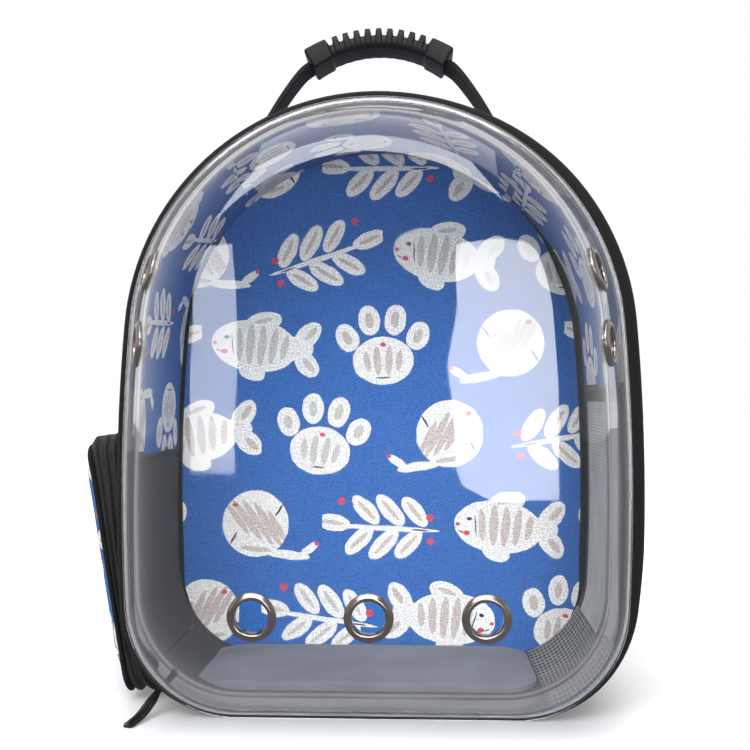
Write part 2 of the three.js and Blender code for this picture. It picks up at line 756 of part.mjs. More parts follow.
function pocketGusset() {
  const folds = Array.from({ length: 2 * PLEAT_COUNT + 1 }, (_, k) => ({
    share: k / (2 * PLEAT_COUNT),
    shrink: k % 2 === 0 ? PLEAT_HEIGHT : 0,
  }));
  const outer = folds.map((f) => pocketRing(f.shrink, f.share));
  const inner = folds.map((f) => pocketRing(f.shrink + POCKET_WALL, f.share)).reverse();
  const sections = [...outer, ...inner, outer[0]];
  const wall = toSolid(
    new LoftGeometry(sections, { closed: true, capStart: false, capEnd: false }),
  );
  const around = outline(GUSSET_INSET - GAP, GUSSET_FLOOR - GAP);
  const body = loft([atDepth(around, BACK_Y), atDepth(around, FRONT_Y)]);
  const mouthX = pocketPoint(0, POCKET.high, 0.6).x;
  const mouth = box(
    new THREE.Vector3(mouthX - MOUTH_WIDTH / 2, POCKET.front + MOUTH_MARGIN, POCKET.high / 2),
    new THREE.Vector3(mouthX + MOUTH_WIDTH / 2, POCKET.back - MOUTH_MARGIN, POCKET.high * 2),
  );
  return wall.subtract(body).subtract(mouth);
}

function pocketPlate(shrink, from, to) {
  const shift = (x) => pocketRing(shrink, 1).map((p) => p.setX(p.x - x));
  return loft([shift(from), shift(to)]);
}

addPart('pocket_gusset', pocketGusset(), FINISHES.black);
addPart('pocket_face', pocketPlate(POCKET_RIM + GAP, GAP, GAP + POCKET_FACE_THICKNESS), FINISHES.print);
addPart(
  'pocket_rim',
  pocketPlate(0, GAP, GAP + POCKET_FACE_THICKNESS + 1).subtract(
    pocketPlate(POCKET_RIM, -CLOTH_WALL, 2 * POCKET_FACE_THICKNESS + 2),
  ),
  FINISHES.black,
);

// Carrying handle: a moulded grip on two webbing ends sewn to the arch

const GRIP_RADIUS = (GRIP_HALF_LENGTH ** 2 + GRIP_ARCH ** 2) / (2 * GRIP_ARCH);
const GRIP_HALF_ANGLE = Math.asin(GRIP_HALF_LENGTH / GRIP_RADIUS);
const GRIP_TOP_Z = HEIGHT + GRIP_CENTRE_RISE;

// Frame of the grip at a signed distance along its arched centre line
function gripFrame(distance) {
  const angle = distance / GRIP_RADIUS;
  const up = new THREE.Vector3(Math.sin(angle), 0, Math.cos(angle));
  const centre = new THREE.Vector3(0, 0, GRIP_TOP_Z - GRIP_RADIUS).addScaledVector(up, GRIP_RADIUS);
  return { centre, up };
}

function gripSection(distance, halfWidth, low, high) {
  const { centre, up } = gripFrame(distance);
  const middle = (high + low) / 2;
  return roundedRectangle((high - low) / 2, halfWidth, halfWidth * GRIP_CORNER, 1).map((p) =>
    centre.clone().addScaledVector(up, middle + p.x).add(new THREE.Vector3(0, -p.y, 0)),
  );
}

function handleGrip() {
  const length = 2 * GRIP_RADIUS * GRIP_HALF_ANGLE;
  const half = GRIP_THICKNESS / 2;
  const blockHalf = BLOCK_THICKNESS / 2;
  const ribs = Array.from({ length: RIB_COUNT }, (_, k) => (k - (RIB_COUNT - 1) / 2) * RIB_PITCH);
  const bar = (s, extra) => gripSection(s, GRIP_WIDTH / 2, -half, half + RIB_REST + extra);
  const block = (s, shrink) =>
    gripSection(s, BLOCK_WIDTH / 2 - shrink, -blockHalf + shrink, blockHalf - shrink);
  const end = length / 2;
  return loft([
    block(-end, BLOCK_BEVEL),
    block(-end + BLOCK_BEVEL, 0),
    block(-end + BLOCK_LENGTH, 0),
    bar(-end + BLOCK_LENGTH + 1, 0),
    ...ribs.flatMap((s) => [
      bar(s - RIB_PITCH * RIB_FOOT, 0),
      bar(s - RIB_PITCH * RIB_CROWN, RIB_HEIGHT),
      bar(s + RIB_PITCH * RIB_CROWN, RIB_HEIGHT),
      bar(s + RIB_PITCH * RIB_FOOT, 0),
    ]),
    bar(end - BLOCK_LENGTH - 1, 0),
    block(end - BLOCK_LENGTH, 0),
    block(end - BLOCK_BEVEL, 0),
    block(end, BLOCK_BEVEL),
  ]);
}

addPart('handle_grip', handleGrip(), FINISHES.plastic);

function handleWebbing(side) {
  const seat = TOP_RADIUS - GUSSET_INSET + GAP + WEBBING_THICKNESS / 2;
  const onArch = (deg, lift = 0) => {
    const angle = degrees(deg);
    const radius = seat + lift;
    return new THREE.Vector3(
      side * radius * Math.cos(angle),
      0,
      TOP_CENTRE_Z + radius * Math.sin(angle),
    );
  };
  const { centre, up } = gripFrame(side * (GRIP_RADIUS * GRIP_HALF_ANGLE + GAP));
  const out = new THREE.Vector3(up.z * side, 0, -up.x * side);
  const anchor = onArch(HANDLE_ANCHOR_ANGLE_DEG, WEBBING_LIFT_AT_ANCHOR);
  const near = centre.clone().addScaledVector(out, GRIP_CENTRE_RISE * WEBBING_BELOW_GRIP);
  const bow = new THREE.Vector3(side * WEBBING_BOW.outward, 0, 0);
  const low = anchor.clone().lerp(near, WEBBING_BOW.along).add(bow);
  const tail = [3, 2, 1].map((k) => onArch(HANDLE_ANCHOR_ANGLE_DEG - (HANDLE_TAIL_DEG * k) / 3));
  const curve = new THREE.CatmullRomCurve3([
    ...tail,
    anchor,
    low,
    near,
    centre,
  ]);
  return ribbon(curve, WEBBING_STEPS, new THREE.Vector3(0, 1, 0), () => ({
    halfWidth: HANDLE_WEBBING_WIDTH / 2,
    halfThickness: WEBBING_THICKNESS / 2,
    edge: WEBBING_EDGE,
  }));
}

const SIDES = { left: -1, right: 1 };
for (const [word, side] of Object.entries(SIDES)) {
  addPart(`handle_webbing_${word}`, handleWebbing(side), FINISHES.webbing);
}

// Shoulder straps: a padded run, a ladder lock and a webbing tail on each side

// Bowed run of a strap: share of its drop, share of its bow, share of its spread
const STRAP_RUN = [
  { drop: 0, bow: 0, spread: 0 },
  { drop: 0.06, bow: 0.24, spread: 0.05 },
  { drop: 0.22, bow: 0.72, spread: 0.25 },
  { drop: 0.5, bow: 1, spread: 0.55 },
  { drop: 0.8, bow: 0.82, spread: 0.85 },
  { drop: 1, bow: 0.55, spread: 1 },
];

const STRAP_ROOT_Z = HEIGHT - STRAP_ROOT_BELOW_TOP;
const STRAP_SEAT_Y = PAD_BACK_Y + GAP + YOKE_THICKNESS + GAP + STRAP_THICKNESS / 2;

function strapPoint(side, row) {
  return new THREE.Vector3(
    side * (STRAP_ROOT_X + row.spread * STRAP_SPREAD),
    STRAP_SEAT_Y + row.bow * STRAP_BOW,
    STRAP_ROOT_Z - row.drop * STRAP_LENGTH_DOWN,
  );
}

const strapCurve = (side) =>
  new THREE.CatmullRomCurve3(STRAP_RUN.map((row) => strapPoint(side, row)));

function shoulderStrap(side) {
  return ribbon(
    strapCurve(side),
    STRAP_STEPS,
    new THREE.Vector3(1, 0, 0),
    (t) => ({
      halfWidth: (STRAP_WIDTH / 2) * (1 - STRAP_TAPER * t ** 3),
      halfThickness:
        (STRAP_THICKNESS / 2) * THREE.MathUtils.lerp(STRAP_END_THICKNESS, 1, Math.sin(Math.PI * t)),
      edge: STRAP_THICKNESS * STRAP_EDGE,
    }),
    2,
  );
}

// Frame at the strap's lower end: where the lock hangs and which way it points
function lockFrame(side) {
  const curve = strapCurve(side);
  const end = curve.getPoint(1);
  const down = curve.getTangent(1);
  const across = new THREE.Vector3(1, 0, 0).addScaledVector(down, -down.x).normalize();
  return { end, down, across, normal: new THREE.Vector3().crossVectors(down, across) };
}

function lockPoint(frame, along, across, out) {
  return frame.end
    .clone()
    .addScaledVector(frame.down, GAP + along)
    .addScaledVector(frame.across, across)
    .addScaledVector(frame.normal, out);
}

function ladderLock(side) {
  const frame = lockFrame(side);
  const plate = (from, to, halfWidth) => {
    const middle = (from + to) / 2;
    const ring = (out) =>
      roundedRectangle((to - from) / 2, halfWidth, 2, 1).map((p) =>
        lockPoint(frame, middle + p.x, p.y, out),
      );
    return loft([ring(-LOCK_THICKNESS / 2), ring(LOCK_THICKNESS / 2)]);
  };
  const body = plate(0, LOCK_HEIGHT, LOCK_WIDTH / 2);
  const slots = [LOCK_BAR, LOCK_HEIGHT - LOCK_BAR - LOCK_SLOT].map((from) => {
    const halfWidth = LOCK_WIDTH / 2 - LOCK_BAR;
    const ring = (out) =>
      roundedRectangle(LOCK_SLOT / 2, halfWidth, 1, 1).map((p) =>
        lockPoint(frame, from + LOCK_SLOT / 2 + p.x, p.y, out),
      );
    return loft([ring(-LOCK_THICKNESS), ring(LOCK_THICKNESS)]);
  });
  return slots.reduce((lock, slot) => lock.subtract(slot), body);
}

function strapWebbing(side) {
  const frame = lockFrame(side);
  const start = lockPoint(frame, LOCK_HEIGHT + GAP, 0, 0);
  const below = lockPoint(frame, LOCK_HEIGHT + WEBBING_THICKNESS * STRAP_WEBBING_DROP, 0, 0);
  const seat = PAD_BACK_Y + GAP + WEBBING_THICKNESS / 2;
  const anchorX = side * (TOP_RADIUS - STRAP_ANCHOR_INSET);
  const anchor = new THREE.Vector3(anchorX, seat, STRAP_ANCHOR_HEIGHT);
  const tail = anchor
    .clone()
    .add(new THREE.Vector3(-side * STRAP_TAIL.inward, STRAP_TAIL.lift, STRAP_WEBBING_WIDTH));
  const middle = start.clone().lerp(tail, STRAP_WEBBING_SAG.along);
  middle.y = THREE.MathUtils.lerp(start.y, tail.y, STRAP_WEBBING_SAG.inward);
  const curve = new THREE.CatmullRomCurve3([start, below, middle, tail, anchor]);
  return ribbon(curve, STRAP_WEBBING_STEPS, new THREE.Vector3(1, 0, 0), () => ({
    halfWidth: STRAP_WEBBING_WIDTH / 2,
    halfThickness: WEBBING_THICKNESS / 2,
    edge: WEBBING_EDGE,
  }));
}

function strapYoke(side) {
  const halfWidth = STRAP_WIDTH / 2 + YOKE_MARGIN;
  const ring = (y) =>
    roundedRectangle(halfWidth, YOKE_HEIGHT / 2, YOKE_CORNER).map(
      (p) => new THREE.Vector3(side * STRAP_ROOT_X + p.x, y, STRAP_ROOT_Z - YOKE_HEIGHT / 4 + p.y),
    );
  return loft([ring(PAD_BACK_Y + GAP + YOKE_THICKNESS), ring(PAD_BACK_Y + GAP)]);
}

for (const [word, side] of Object.entries(SIDES)) {
  addPart(`strap_yoke_${word}`, strapYoke(side), FINISHES.black);
  addPart(`shoulder_strap_${word}`, shoulderStrap(side), FINISHES.black);
  addPart(`ladder_lock_${word}`, ladderLock(side), FINISHES.plastic);
  addPart(`strap_webbing_${word}`, strapWebbing(side), FINISHES.webbing);
}

export default backpack;
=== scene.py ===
"""Visual model of the bubble pet carrier backpack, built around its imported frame.

Metres. X is to the viewer's right, Y goes into the picture towards the wearer, Z is up.
"""

import logging
import math
from collections.abc import Callable, Iterable, Iterator, Sequence
from dataclasses import dataclass, field
from enum import Enum

import bmesh
import bpy
from mathutils import Matrix, Vector, noise
from mathutils.bvhtree import BVHTree


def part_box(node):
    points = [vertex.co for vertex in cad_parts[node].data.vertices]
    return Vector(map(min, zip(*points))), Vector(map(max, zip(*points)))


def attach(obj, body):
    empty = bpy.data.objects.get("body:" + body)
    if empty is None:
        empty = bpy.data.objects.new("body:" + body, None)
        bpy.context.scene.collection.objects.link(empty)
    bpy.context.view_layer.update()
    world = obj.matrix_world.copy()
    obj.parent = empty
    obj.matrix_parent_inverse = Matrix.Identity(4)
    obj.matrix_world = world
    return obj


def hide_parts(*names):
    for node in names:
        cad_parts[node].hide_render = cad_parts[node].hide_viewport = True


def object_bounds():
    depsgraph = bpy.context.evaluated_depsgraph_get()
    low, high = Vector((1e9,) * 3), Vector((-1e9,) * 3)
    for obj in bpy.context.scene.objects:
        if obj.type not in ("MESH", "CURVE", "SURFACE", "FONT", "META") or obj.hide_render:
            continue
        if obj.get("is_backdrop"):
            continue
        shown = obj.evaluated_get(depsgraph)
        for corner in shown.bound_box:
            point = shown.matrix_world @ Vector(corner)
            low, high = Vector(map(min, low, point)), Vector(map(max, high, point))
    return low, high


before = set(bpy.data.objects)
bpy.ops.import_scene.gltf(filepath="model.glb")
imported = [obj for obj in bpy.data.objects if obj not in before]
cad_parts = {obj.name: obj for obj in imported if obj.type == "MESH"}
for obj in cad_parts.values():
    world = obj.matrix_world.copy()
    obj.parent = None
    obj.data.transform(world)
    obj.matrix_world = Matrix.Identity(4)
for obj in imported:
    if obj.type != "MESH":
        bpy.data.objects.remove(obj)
CAD_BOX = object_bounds()

LOG = logging.getLogger("carrier")
SIDES = {"left": -1, "right": 1}
FRONT_Y, BACK_Y = -0.080, 0.080
PAD_BACK_Y = 0.0943
GUSSET_INSET, GUSSET_FLOOR = 0.001, 0.003
INNER_INSET, INNER_FLOOR = 0.0026, 0.0046
SHELL_FLOOR = 0.001
GAP = 0.0003
UP = Vector((0, 0, 1))

Ring = list[Vector]
Pair = tuple[float, float]
Color = tuple[float, float, float]
Place = tuple[float, float, float]
Section = tuple[float, float, float]
Oval = tuple[float, float, float, float, float]


# Shapes


class Arc(Enum):
    """The pieces of the bag's outline, counterclockwise from the floor's middle."""

    FLOOR_RIGHT = 0
    CORNER_RIGHT = 1
    SIDE_RIGHT = 2
    TOP = 3
    SIDE_LEFT = 4
    CORNER_LEFT = 5
    FLOOR_LEFT = 6


Station = tuple[Arc, float]


@dataclass(frozen=True)
class Arch:
    """Outline of the bag seen from the front, as tangent arcs that can be moved inwards."""

    top_radius: float = 0.168
    side_bulge: float = 0.004
    widest: float = 0.155
    shoulder_rise: float = 0.098
    corner_radius: float = 0.077

    @property
    def side_radius(self) -> float:
        """Radius of the slightly bowed sides."""
        rise = self.shoulder_rise**2 / (2 * self.side_bulge)
        return self.top_radius + self.side_bulge / 2 + rise

    @property
    def side_x(self) -> float:
        """Where the right side's centre is."""
        return self.top_radius + self.side_bulge - self.side_radius

    @property
    def shoulder(self) -> float:
        """Angle of the right side's upper end, seen from its centre."""
        return math.atan2(self.shoulder_rise, -self.side_x)

    def heel(self, x: float, z: float) -> float:
        """Angle of the right side's lower end, where the corner has its centre at x and z."""
        return math.atan2(z - self.widest, x - self.side_x)

    @property
    def top_z(self) -> float:
        """Height of the top arc's centre."""
        return self.widest + self.shoulder_rise

    def corner(self, inset: float, floor: float, radius: float | None) -> tuple[float, float, float]:
        """Finds the right bottom corner of a moved outline.

        Args:
            inset: distance inwards from the rim.
            floor: height of the outline's floor.
            radius: the corner's radius, or None for one concentric with the rim's.

        Returns:
            The corner's centre x and z, and its radius.
        """
        radius = self.corner_radius - floor if radius is None else radius
        z = floor + radius
        reach = (self.side_radius - inset - radius) ** 2 - (self.widest - z) ** 2
        return self.side_x + math.sqrt(reach), z, radius

    def point(self, station: Station, inset: float, floor: float, radius: float | None = None) -> Vector:
        """Places a station of the outline.

        Args:
            station: an arc and the share of it that is passed.
            inset: distance inwards from the rim.
            floor: height of the outline's floor.
            radius: the corner's radius, or None for one concentric with the rim's.

        Returns:
            The point's x and z, as a 2D vector.
        """
        arc, t = station
        if arc.value > Arc.TOP.value:
            mirrored = {Arc.SIDE_LEFT: Arc.SIDE_RIGHT, Arc.CORNER_LEFT: Arc.CORNER_RIGHT}
            p = self.point((mirrored.get(arc, Arc.FLOOR_RIGHT), 1 - t), inset, floor, radius)
            return Vector((-p.x, p.y))
        x, z, corner = self.corner(inset, floor, radius)
        heel, shoulder = self.heel(x, z), self.shoulder
        if arc is Arc.FLOOR_RIGHT:
            return Vector((x * t, floor))
        if arc is Arc.CORNER_RIGHT:
            angle = -math.pi / 2 + (heel + math.pi / 2) * t
            return Vector((x + corner * math.cos(angle), z + corner * math.sin(angle)))
        if arc is Arc.SIDE_RIGHT:
            angle, reach = heel + (shoulder - heel) * t, self.side_radius - inset
            return Vector((self.side_x + reach * math.cos(angle), self.widest + reach * math.sin(angle)))
        angle = shoulder + (math.pi - 2 * shoulder) * t
        reach = self.top_radius - inset
        return Vector((reach * math.cos(angle), self.top_z + reach * math.sin(angle)))

    def half_width(self, z: float, inset: float, floor: float) -> float:
        """Half width of a moved outline at a height.

        Args:
            z: the height.
            inset: distance inwards from the rim.
            floor: height of the outline's floor.

        Returns:
            The distance from the middle to the outline.
        """
        x, cz, corner = self.corner(inset, floor, None)
        side, top = self.side_radius - inset, self.top_radius - inset
        heel, shoulder = self.heel(x, cz), self.shoulder
        if z > self.widest + side * math.sin(shoulder):
            return math.sqrt(max(top**2 - (z - self.top_z) ** 2, 0))
        if z > self.widest + side * math.sin(heel):
            return self.side_x + math.sqrt(side**2 - (z - self.widest) ** 2)
        return x + math.sqrt(max(corner**2 - (z - cz) ** 2, 0))

    def station_at(self, z: float, right: bool) -> Station:
        """Finds the station at a height below the shoulders.

        Args:
            z: the height.
            right: True for the right side of the outline.

        Returns:
            The station on the side or the corner.
        """
        x, cz, corner = self.corner(0, 0, None)
        heel, shoulder = self.heel(x, cz), self.shoulder
        angle = math.asin((z - self.widest) / self.side_radius)
        if angle > heel:
            arc, t = Arc.SIDE_RIGHT, (angle - heel) / (shoulder - heel)
        else:
            angle = math.asin(max(-1, (z - cz) / corner))
            arc, t = Arc.CORNER_RIGHT, (angle + math.pi / 2) / (heel + math.pi / 2)
        if right:
            return arc, t
        return (Arc.SIDE_LEFT if arc is Arc.SIDE_RIGHT else Arc.CORNER_LEFT), 1 - t


ARCH = Arch()
STEPS = {
    Arc.FLOOR_RIGHT: 8,
    Arc.CORNER_RIGHT: 18,
    Arc.SIDE_RIGHT: 18,
    Arc.TOP: 60,
    Arc.SIDE_LEFT: 18,
    Arc.CORNER_LEFT: 18,
    Arc.FLOOR_LEFT: 8,
}
FULL: list[Station] = [(arc, k / n) for arc, n in STEPS.items() for k in range(n)]


def passed(station: Station) -> float:
    """Arcs and shares of an arc that lie before a station."""
    return station[0].value + station[1]


def stations_between(start: Station, end: Station) -> list[Station]:
    """Stations from one place of the outline to another, counterclockwise, ends included.

    Args:
        start: the first station.
        end: the last station; one before the first lies past the floor's middle.

    Returns:
        The stations in order.
    """
    too_near = 0.02
    first, last = passed(start) + too_near, passed(end) - too_near
    if first < last:
        middle = [s for s in FULL if first < passed(s) < last]
    else:
        middle = [s for s in FULL if passed(s) > first] + [s for s in FULL if passed(s) < last]
    return [start, *middle, end]


def ring_of(
    stations: Sequence[Station], y: float, inset: float, floor: float, radius: float | None = None
) -> Ring:
    """Places stations of the outline at one depth.

    Args:
        stations: the stations.
        y: the depth.
        inset: distance inwards from the rim.
        floor: height of the outline's floor.
        radius: the corner's radius, or None for one concentric with the rim's.

    Returns:
        The points in order.
    """
    flat = (ARCH.point(s, inset, floor, radius) for s in stations)
    return [Vector((p.x, y, p.y)) for p in flat]


def rounded(half_u: float, half_v: float, radius: float, steps: int = 5) -> list[Vector]:
    """Rounded rectangle as 2D points, counterclockwise from u to v.

    Args:
        half_u: half its width.
        half_v: half its height.
        radius: the corners' radius, cut to fit.
        steps: straight steps in each corner.

    Returns:
        The points in order.
    """
    limit = min(radius, half_u * 0.98, half_v * 0.98)
    points = []
    for k, (u, v) in enumerate(((1, 1), (-1, 1), (-1, -1), (1, -1))):
        centre = Vector((u * (half_u - limit), v * (half_v - limit)))
        for j in range(steps + 1):
            angle = (k + j / steps) * math.pi / 2
            points.append(centre + limit * Vector((math.cos(angle), math.sin(angle))))
    return points


def densify(points: Sequence[Vector], longest: float) -> list[Vector]:
    """Adds points along a closed polygon so that no edge is longer than a length.

    Args:
        points: the polygon.
        longest: the length.

    Returns:
        The finer polygon.
    """
    fine = []
    for k, p in enumerate(points):
        q = points[(k + 1) % len(points)]
        n = max(1, math.ceil((q - p).length / longest))
        fine.extend(p.lerp(q, j / n) for j in range(n))
    return fine


def run_lengths(points: Sequence[Vector]) -> list[float]:
    """Distances along a polyline, from 0 at its first point.

    Args:
        points: the polyline.

    Returns:
        One distance for each point.
    """
    total, sums = 0.0, [0.0]
    for a, b in zip(points, points[1:]):
        total += (b - a).length
        sums.append(total)
    return sums


class Cap(Enum):
    """How a loft's two ends are finished."""

    OPEN = "open"
    FLAT = "flat"
    HOOP = "hoop"


def loft(rings: Sequence[Ring], closed: bool = True, cap: Cap = Cap.OPEN) -> bmesh.types.BMesh:
    """Extrudes a first ring through the others, with a UV map in metres along and across.

    Args:
        rings: rings with the same number of points.
        closed: True if each ring is a closed loop.
        cap: HOOP joins the last ring to the first, FLAT fills both ends.

    Returns:
        The mesh, with its faces pointing outwards.
    """
    bm = bmesh.new()
    uv = bm.loops.layers.uv.new("UVMap")
    count = len(rings[0])
    row = [bm.verts.new(p) for p in rings[0]]
    last = count if closed else count - 1
    first_edges = [bm.edges.new((row[k], row[(k + 1) % count])) for k in range(last)]
    edges = first_edges
    along = run_lengths([*rings[0], rings[0][0]])
    across = 0.0
    rest = [*rings[1:], rings[0]] if cap is Cap.HOOP else rings[1:]
    for before, ring in zip(rings, rest):
        made = bmesh.ops.extrude_edge_only(bm, edges=edges)["geom"]
        fresh = {g for g in made if isinstance(g, bmesh.types.BMVert)}
        column = {v: k for k, v in enumerate(row)}
        new_row = []
        for k, v in enumerate(row):
            w = next(e.other_vert(v) for e in v.link_edges if e.other_vert(v) in fresh)
            w.co = ring[k]
            column[w] = k
            new_row.append(w)
        step = sum((a - b).length for a, b in zip(before, ring)) / count
        for face in (g for g in made if isinstance(g, bmesh.types.BMFace)):
            wraps = closed and {column[v] for v in face.verts} == {0, count - 1}
            for corner in face.loops:
                k = column[corner.vert]
                u = along[count] if wraps and k == 0 else along[k]
                corner[uv].uv = (u, across + (step if corner.vert in fresh else 0))
        row, across = new_row, across + step
        edges = [g for g in made if isinstance(g, bmesh.types.BMEdge) and set(g.verts) <= fresh]
    if cap is Cap.FLAT:
        bmesh.ops.contextual_create(bm, geom=first_edges)
        bmesh.ops.contextual_create(bm, geom=edges)
    if cap is Cap.HOOP and not closed:
        bmesh.ops.remove_doubles(bm, verts=bm.verts, dist=1e-6)
        bmesh.ops.holes_fill(bm, edges=bm.edges, sides=0)
    bmesh.ops.remove_doubles(bm, verts=bm.verts, dist=1e-6)
    bmesh.ops.recalc_face_normals(bm, faces=bm.faces)
    return bm


def flat_uv(bm: bmesh.types.BMesh, u: int, v: int) -> None:
    """Lays a mesh's UV map out by two of its coordinates, in metres.

    Args:
        bm: the mesh.
        u: the axis that U follows.
        v: the axis that V follows.
    """
    layer = bm.loops.layers.uv.verify()
    for face in bm.faces:
        for corner in face.loops:
            corner[layer].uv = (corner.vert.co[u], corner.vert.co[v])


def hoop_section(front: float, back: float, outer: Pair, inner: Pair) -> list[tuple]:
    """Cross-section of a cloth wall round the bag.

    Args:
        front: the depth of its front edge.
        back: the depth of its back edge.
        outer: inset and floor of its outside.
        inner: inset and floor of its inside.

    Returns:
        Rows of depth, inset and floor that go round the section.
    """
    steps = max(2, round((back - front) / 0.01))
    spread = [front + (back - front) * k / steps for k in range(steps + 1)]
    return [(y, *outer) for y in reversed(spread)] + [(y, *inner) for y in spread]


def wall(stations: Sequence[Station], section: Sequence[tuple], closed: bool = False) -> bmesh.types.BMesh:
    """Cloth wall that follows part or all of the outline.

    Args:
        stations: the stations that it follows.
        section: rows of depth, inset and floor round its cross-section.
        closed: True for a whole hoop.

    Returns:
        The closed mesh.
    """
    return loft([ring_of(stations, *row) for row in section], closed, Cap.HOOP)


def curve_point(points: Sequence[Vector], t: float) -> Vector:
    """Point of a smooth centripetal curve through points.

    Args:
        points: what the curve passes through.
        t: share of the way, from 0 to 1.

    Returns:
        The point.
    """
    spans = len(points) - 1
    k = min(int(t * spans), spans - 1)
    w = t * spans - k
    p1, p2 = points[k], points[k + 1]
    p0 = points[k - 1] if k else 2 * p1 - p2
    p3 = points[k + 2] if k + 2 < len(points) else 2 * p2 - p1
    d0, d1, d2 = (math.sqrt((b - a).length) for a, b in ((p0, p1), (p1, p2), (p2, p3)))
    m1 = ((p1 - p0) / d0 - (p2 - p0) / (d0 + d1) + (p2 - p1) / d1) * d1
    m2 = ((p2 - p1) / d1 - (p3 - p1) / (d1 + d2) + (p3 - p2) / d2) * d1
    return p1 + w * (m1 + w * ((-3 * p1 + 3 * p2 - 2 * m1 - m2) + w * (2 * p1 - 2 * p2 + m1 + m2)))


@dataclass(frozen=True)
class Frame:
    """A place on a curve with the directions along it, across it and out of it."""

    point: Vector
    along: Vector
    across: Vector
    out: Vector


def curve_frames(points: Sequence[Vector], steps: int, side: Vector) -> list[Frame]:
    """Frames along a curve.

    Args:
        points: what the curve passes through.
        steps: how many steps to take.
        side: the direction of the width.

    Returns:
        One frame more than the steps.
    """
    frames, small = [], 1e-3
    for k in range(steps + 1):
        t = k / steps
        along = curve_point(points, min(1, t + small)) - curve_point(points, max(0, t - small))
        along.normalize()
        across = (side - along * side.dot(along)).normalized()
        frames.append(Frame(curve_point(points, t), along, across, along.cross(across)))
    return frames


def ribbon(frames: Sequence[Frame], section: Callable[[float], Section]) -> bmesh.types.BMesh:
    """Band or pad along frames.

    Args:
        frames: where it goes.
        section: gives half width, half thickness and edge radius for a share of the way.

    Returns:
        The closed mesh.
    """
    rings = []
    for k, f in enumerate(frames):
        flat = rounded(*section(k / (len(frames) - 1)), 3)
        rings.append([f.point + f.across * p.x + f.out * p.y for p in flat])
    return loft(rings, True, Cap.FLAT)


def merge(bm: bmesh.types.BMesh, part: bmesh.types.BMesh) -> None:
    """Adds a part to a mesh and frees the part.

    Args:
        bm: the mesh.
        part: the part.
    """
    mesh = bpy.data.meshes.new("part")
    part.to_mesh(mesh)
    part.free()
    bm.from_mesh(mesh)
    bpy.data.meshes.remove(mesh)


def add_tape(
    bm: bmesh.types.BMesh, points: Sequence[Vector], steps: int, side: Vector, section: Section
) -> None:
    """Adds a narrow tape to a mesh.

    Args:
        bm: the mesh.
        points: what the tape's curve passes through.
        steps: how many steps it takes.
        side: the direction of its width.
        section: its half width, half thickness and edge radius.
    """
    merge(bm, ribbon(curve_frames(points, steps, side), lambda t: section))


def bound_edge(
    loop: Callable[[float, float], Ring], low: float, rise: float, margin: float
) -> bmesh.types.BMesh:
    """Tape round an edge, with a rounded crown.

    Args:
        loop: gives the tape's ring for a share of its width and a height.
        low: the crown's height at its sides.
        rise: how much higher its middle is.
        margin: share of the round that is left out at each side.

    Returns:
        The closed mesh.
    """
    steps = 8
    crown = []
    for k in range(steps + 1):
        swell = math.sin(math.pi * (margin + (1 - 2 * margin) * k / steps)) ** 0.5
        crown.append((k / steps, low + rise * swell))
    rings = [loop(*row) for row in (*crown, (1, GAP), (0, GAP))]
    count = min(len(ring) for ring in rings)
    even = [[ring[int(j * len(ring) / count)] for j in range(count)] for ring in rings]
    return loft(even, True, Cap.HOOP)


def walk(points: Sequence[Vector], count: int, first: float) -> Iterator[tuple[Vector, Vector]]:
    """Takes even steps along a polyline.

    Args:
        points: the polyline.
        count: how many steps fill its length.
        first: where the first place is, in steps.

    Returns:
        Each place with the direction of the polyline there.
    """
    sums, k = run_lengths(points), 0
    for j in range(count):
        s = (j + first) * sums[-1] / count
        while k < len(sums) - 2 and sums[k + 1] < s:
            k += 1
        run = points[k + 1] - points[k]
        yield points[k] + run * ((s - sums[k]) / max(sums[k + 1] - sums[k], 1e-9)), run


def add_bead(bm: bmesh.types.BMesh, place: Vector, along: Vector, up: str, size: Section) -> None:
    """Adds a small stretched ball to a mesh.

    Args:
        bm: the mesh.
        place: the ball's middle.
        along: where its X axis points.
        up: which of its axes points up, Y or Z.
        size: its half sizes.
    """
    turn = along.to_track_quat("X", up).to_matrix().to_4x4()
    matrix = Matrix.Translation(place) @ turn @ Matrix.Diagonal((*size, 1))
    bmesh.ops.create_icosphere(bm, subdivisions=1, radius=1, matrix=matrix)


def new_object(name: str, bm: bmesh.types.BMesh) -> bpy.types.Object:
    """Makes an object of a mesh and frees the mesh.

    Args:
        name: the object's name.
        bm: the mesh.

    Returns:
        The object.
    """
    mesh = bpy.data.meshes.new(name)
    bm.to_mesh(mesh)
    bm.free()
    made = bpy.data.objects.new(name, mesh)
    bpy.context.scene.collection.objects.link(made)
    return made


def add_piece(
    name: str,
    bm: bmesh.types.BMesh,
    finish: bpy.types.Material,
    nodes: Sequence[str] = (),
    sharp: float = 40,
) -> bpy.types.Object:
    """Turns a mesh into a piece of the bag.

    Args:
        name: the piece's name.
        bm: its mesh, in place.
        finish: its material.
        nodes: the CAD nodes that it stands for.
        sharp: the angle in degrees above which an edge looks sharp.

    Returns:
        The new object.
    """
    piece = new_object(name, bm)
    mesh = piece.data
    mesh.shade_smooth()
    mesh.set_sharp_from_angle(angle=math.radians(sharp))
    mesh.materials.append(finish)
    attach(piece, "root")
    if nodes:
        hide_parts(*nodes)
    LOG.info("%s: %d faces", name, len(mesh.polygons))
    return piece


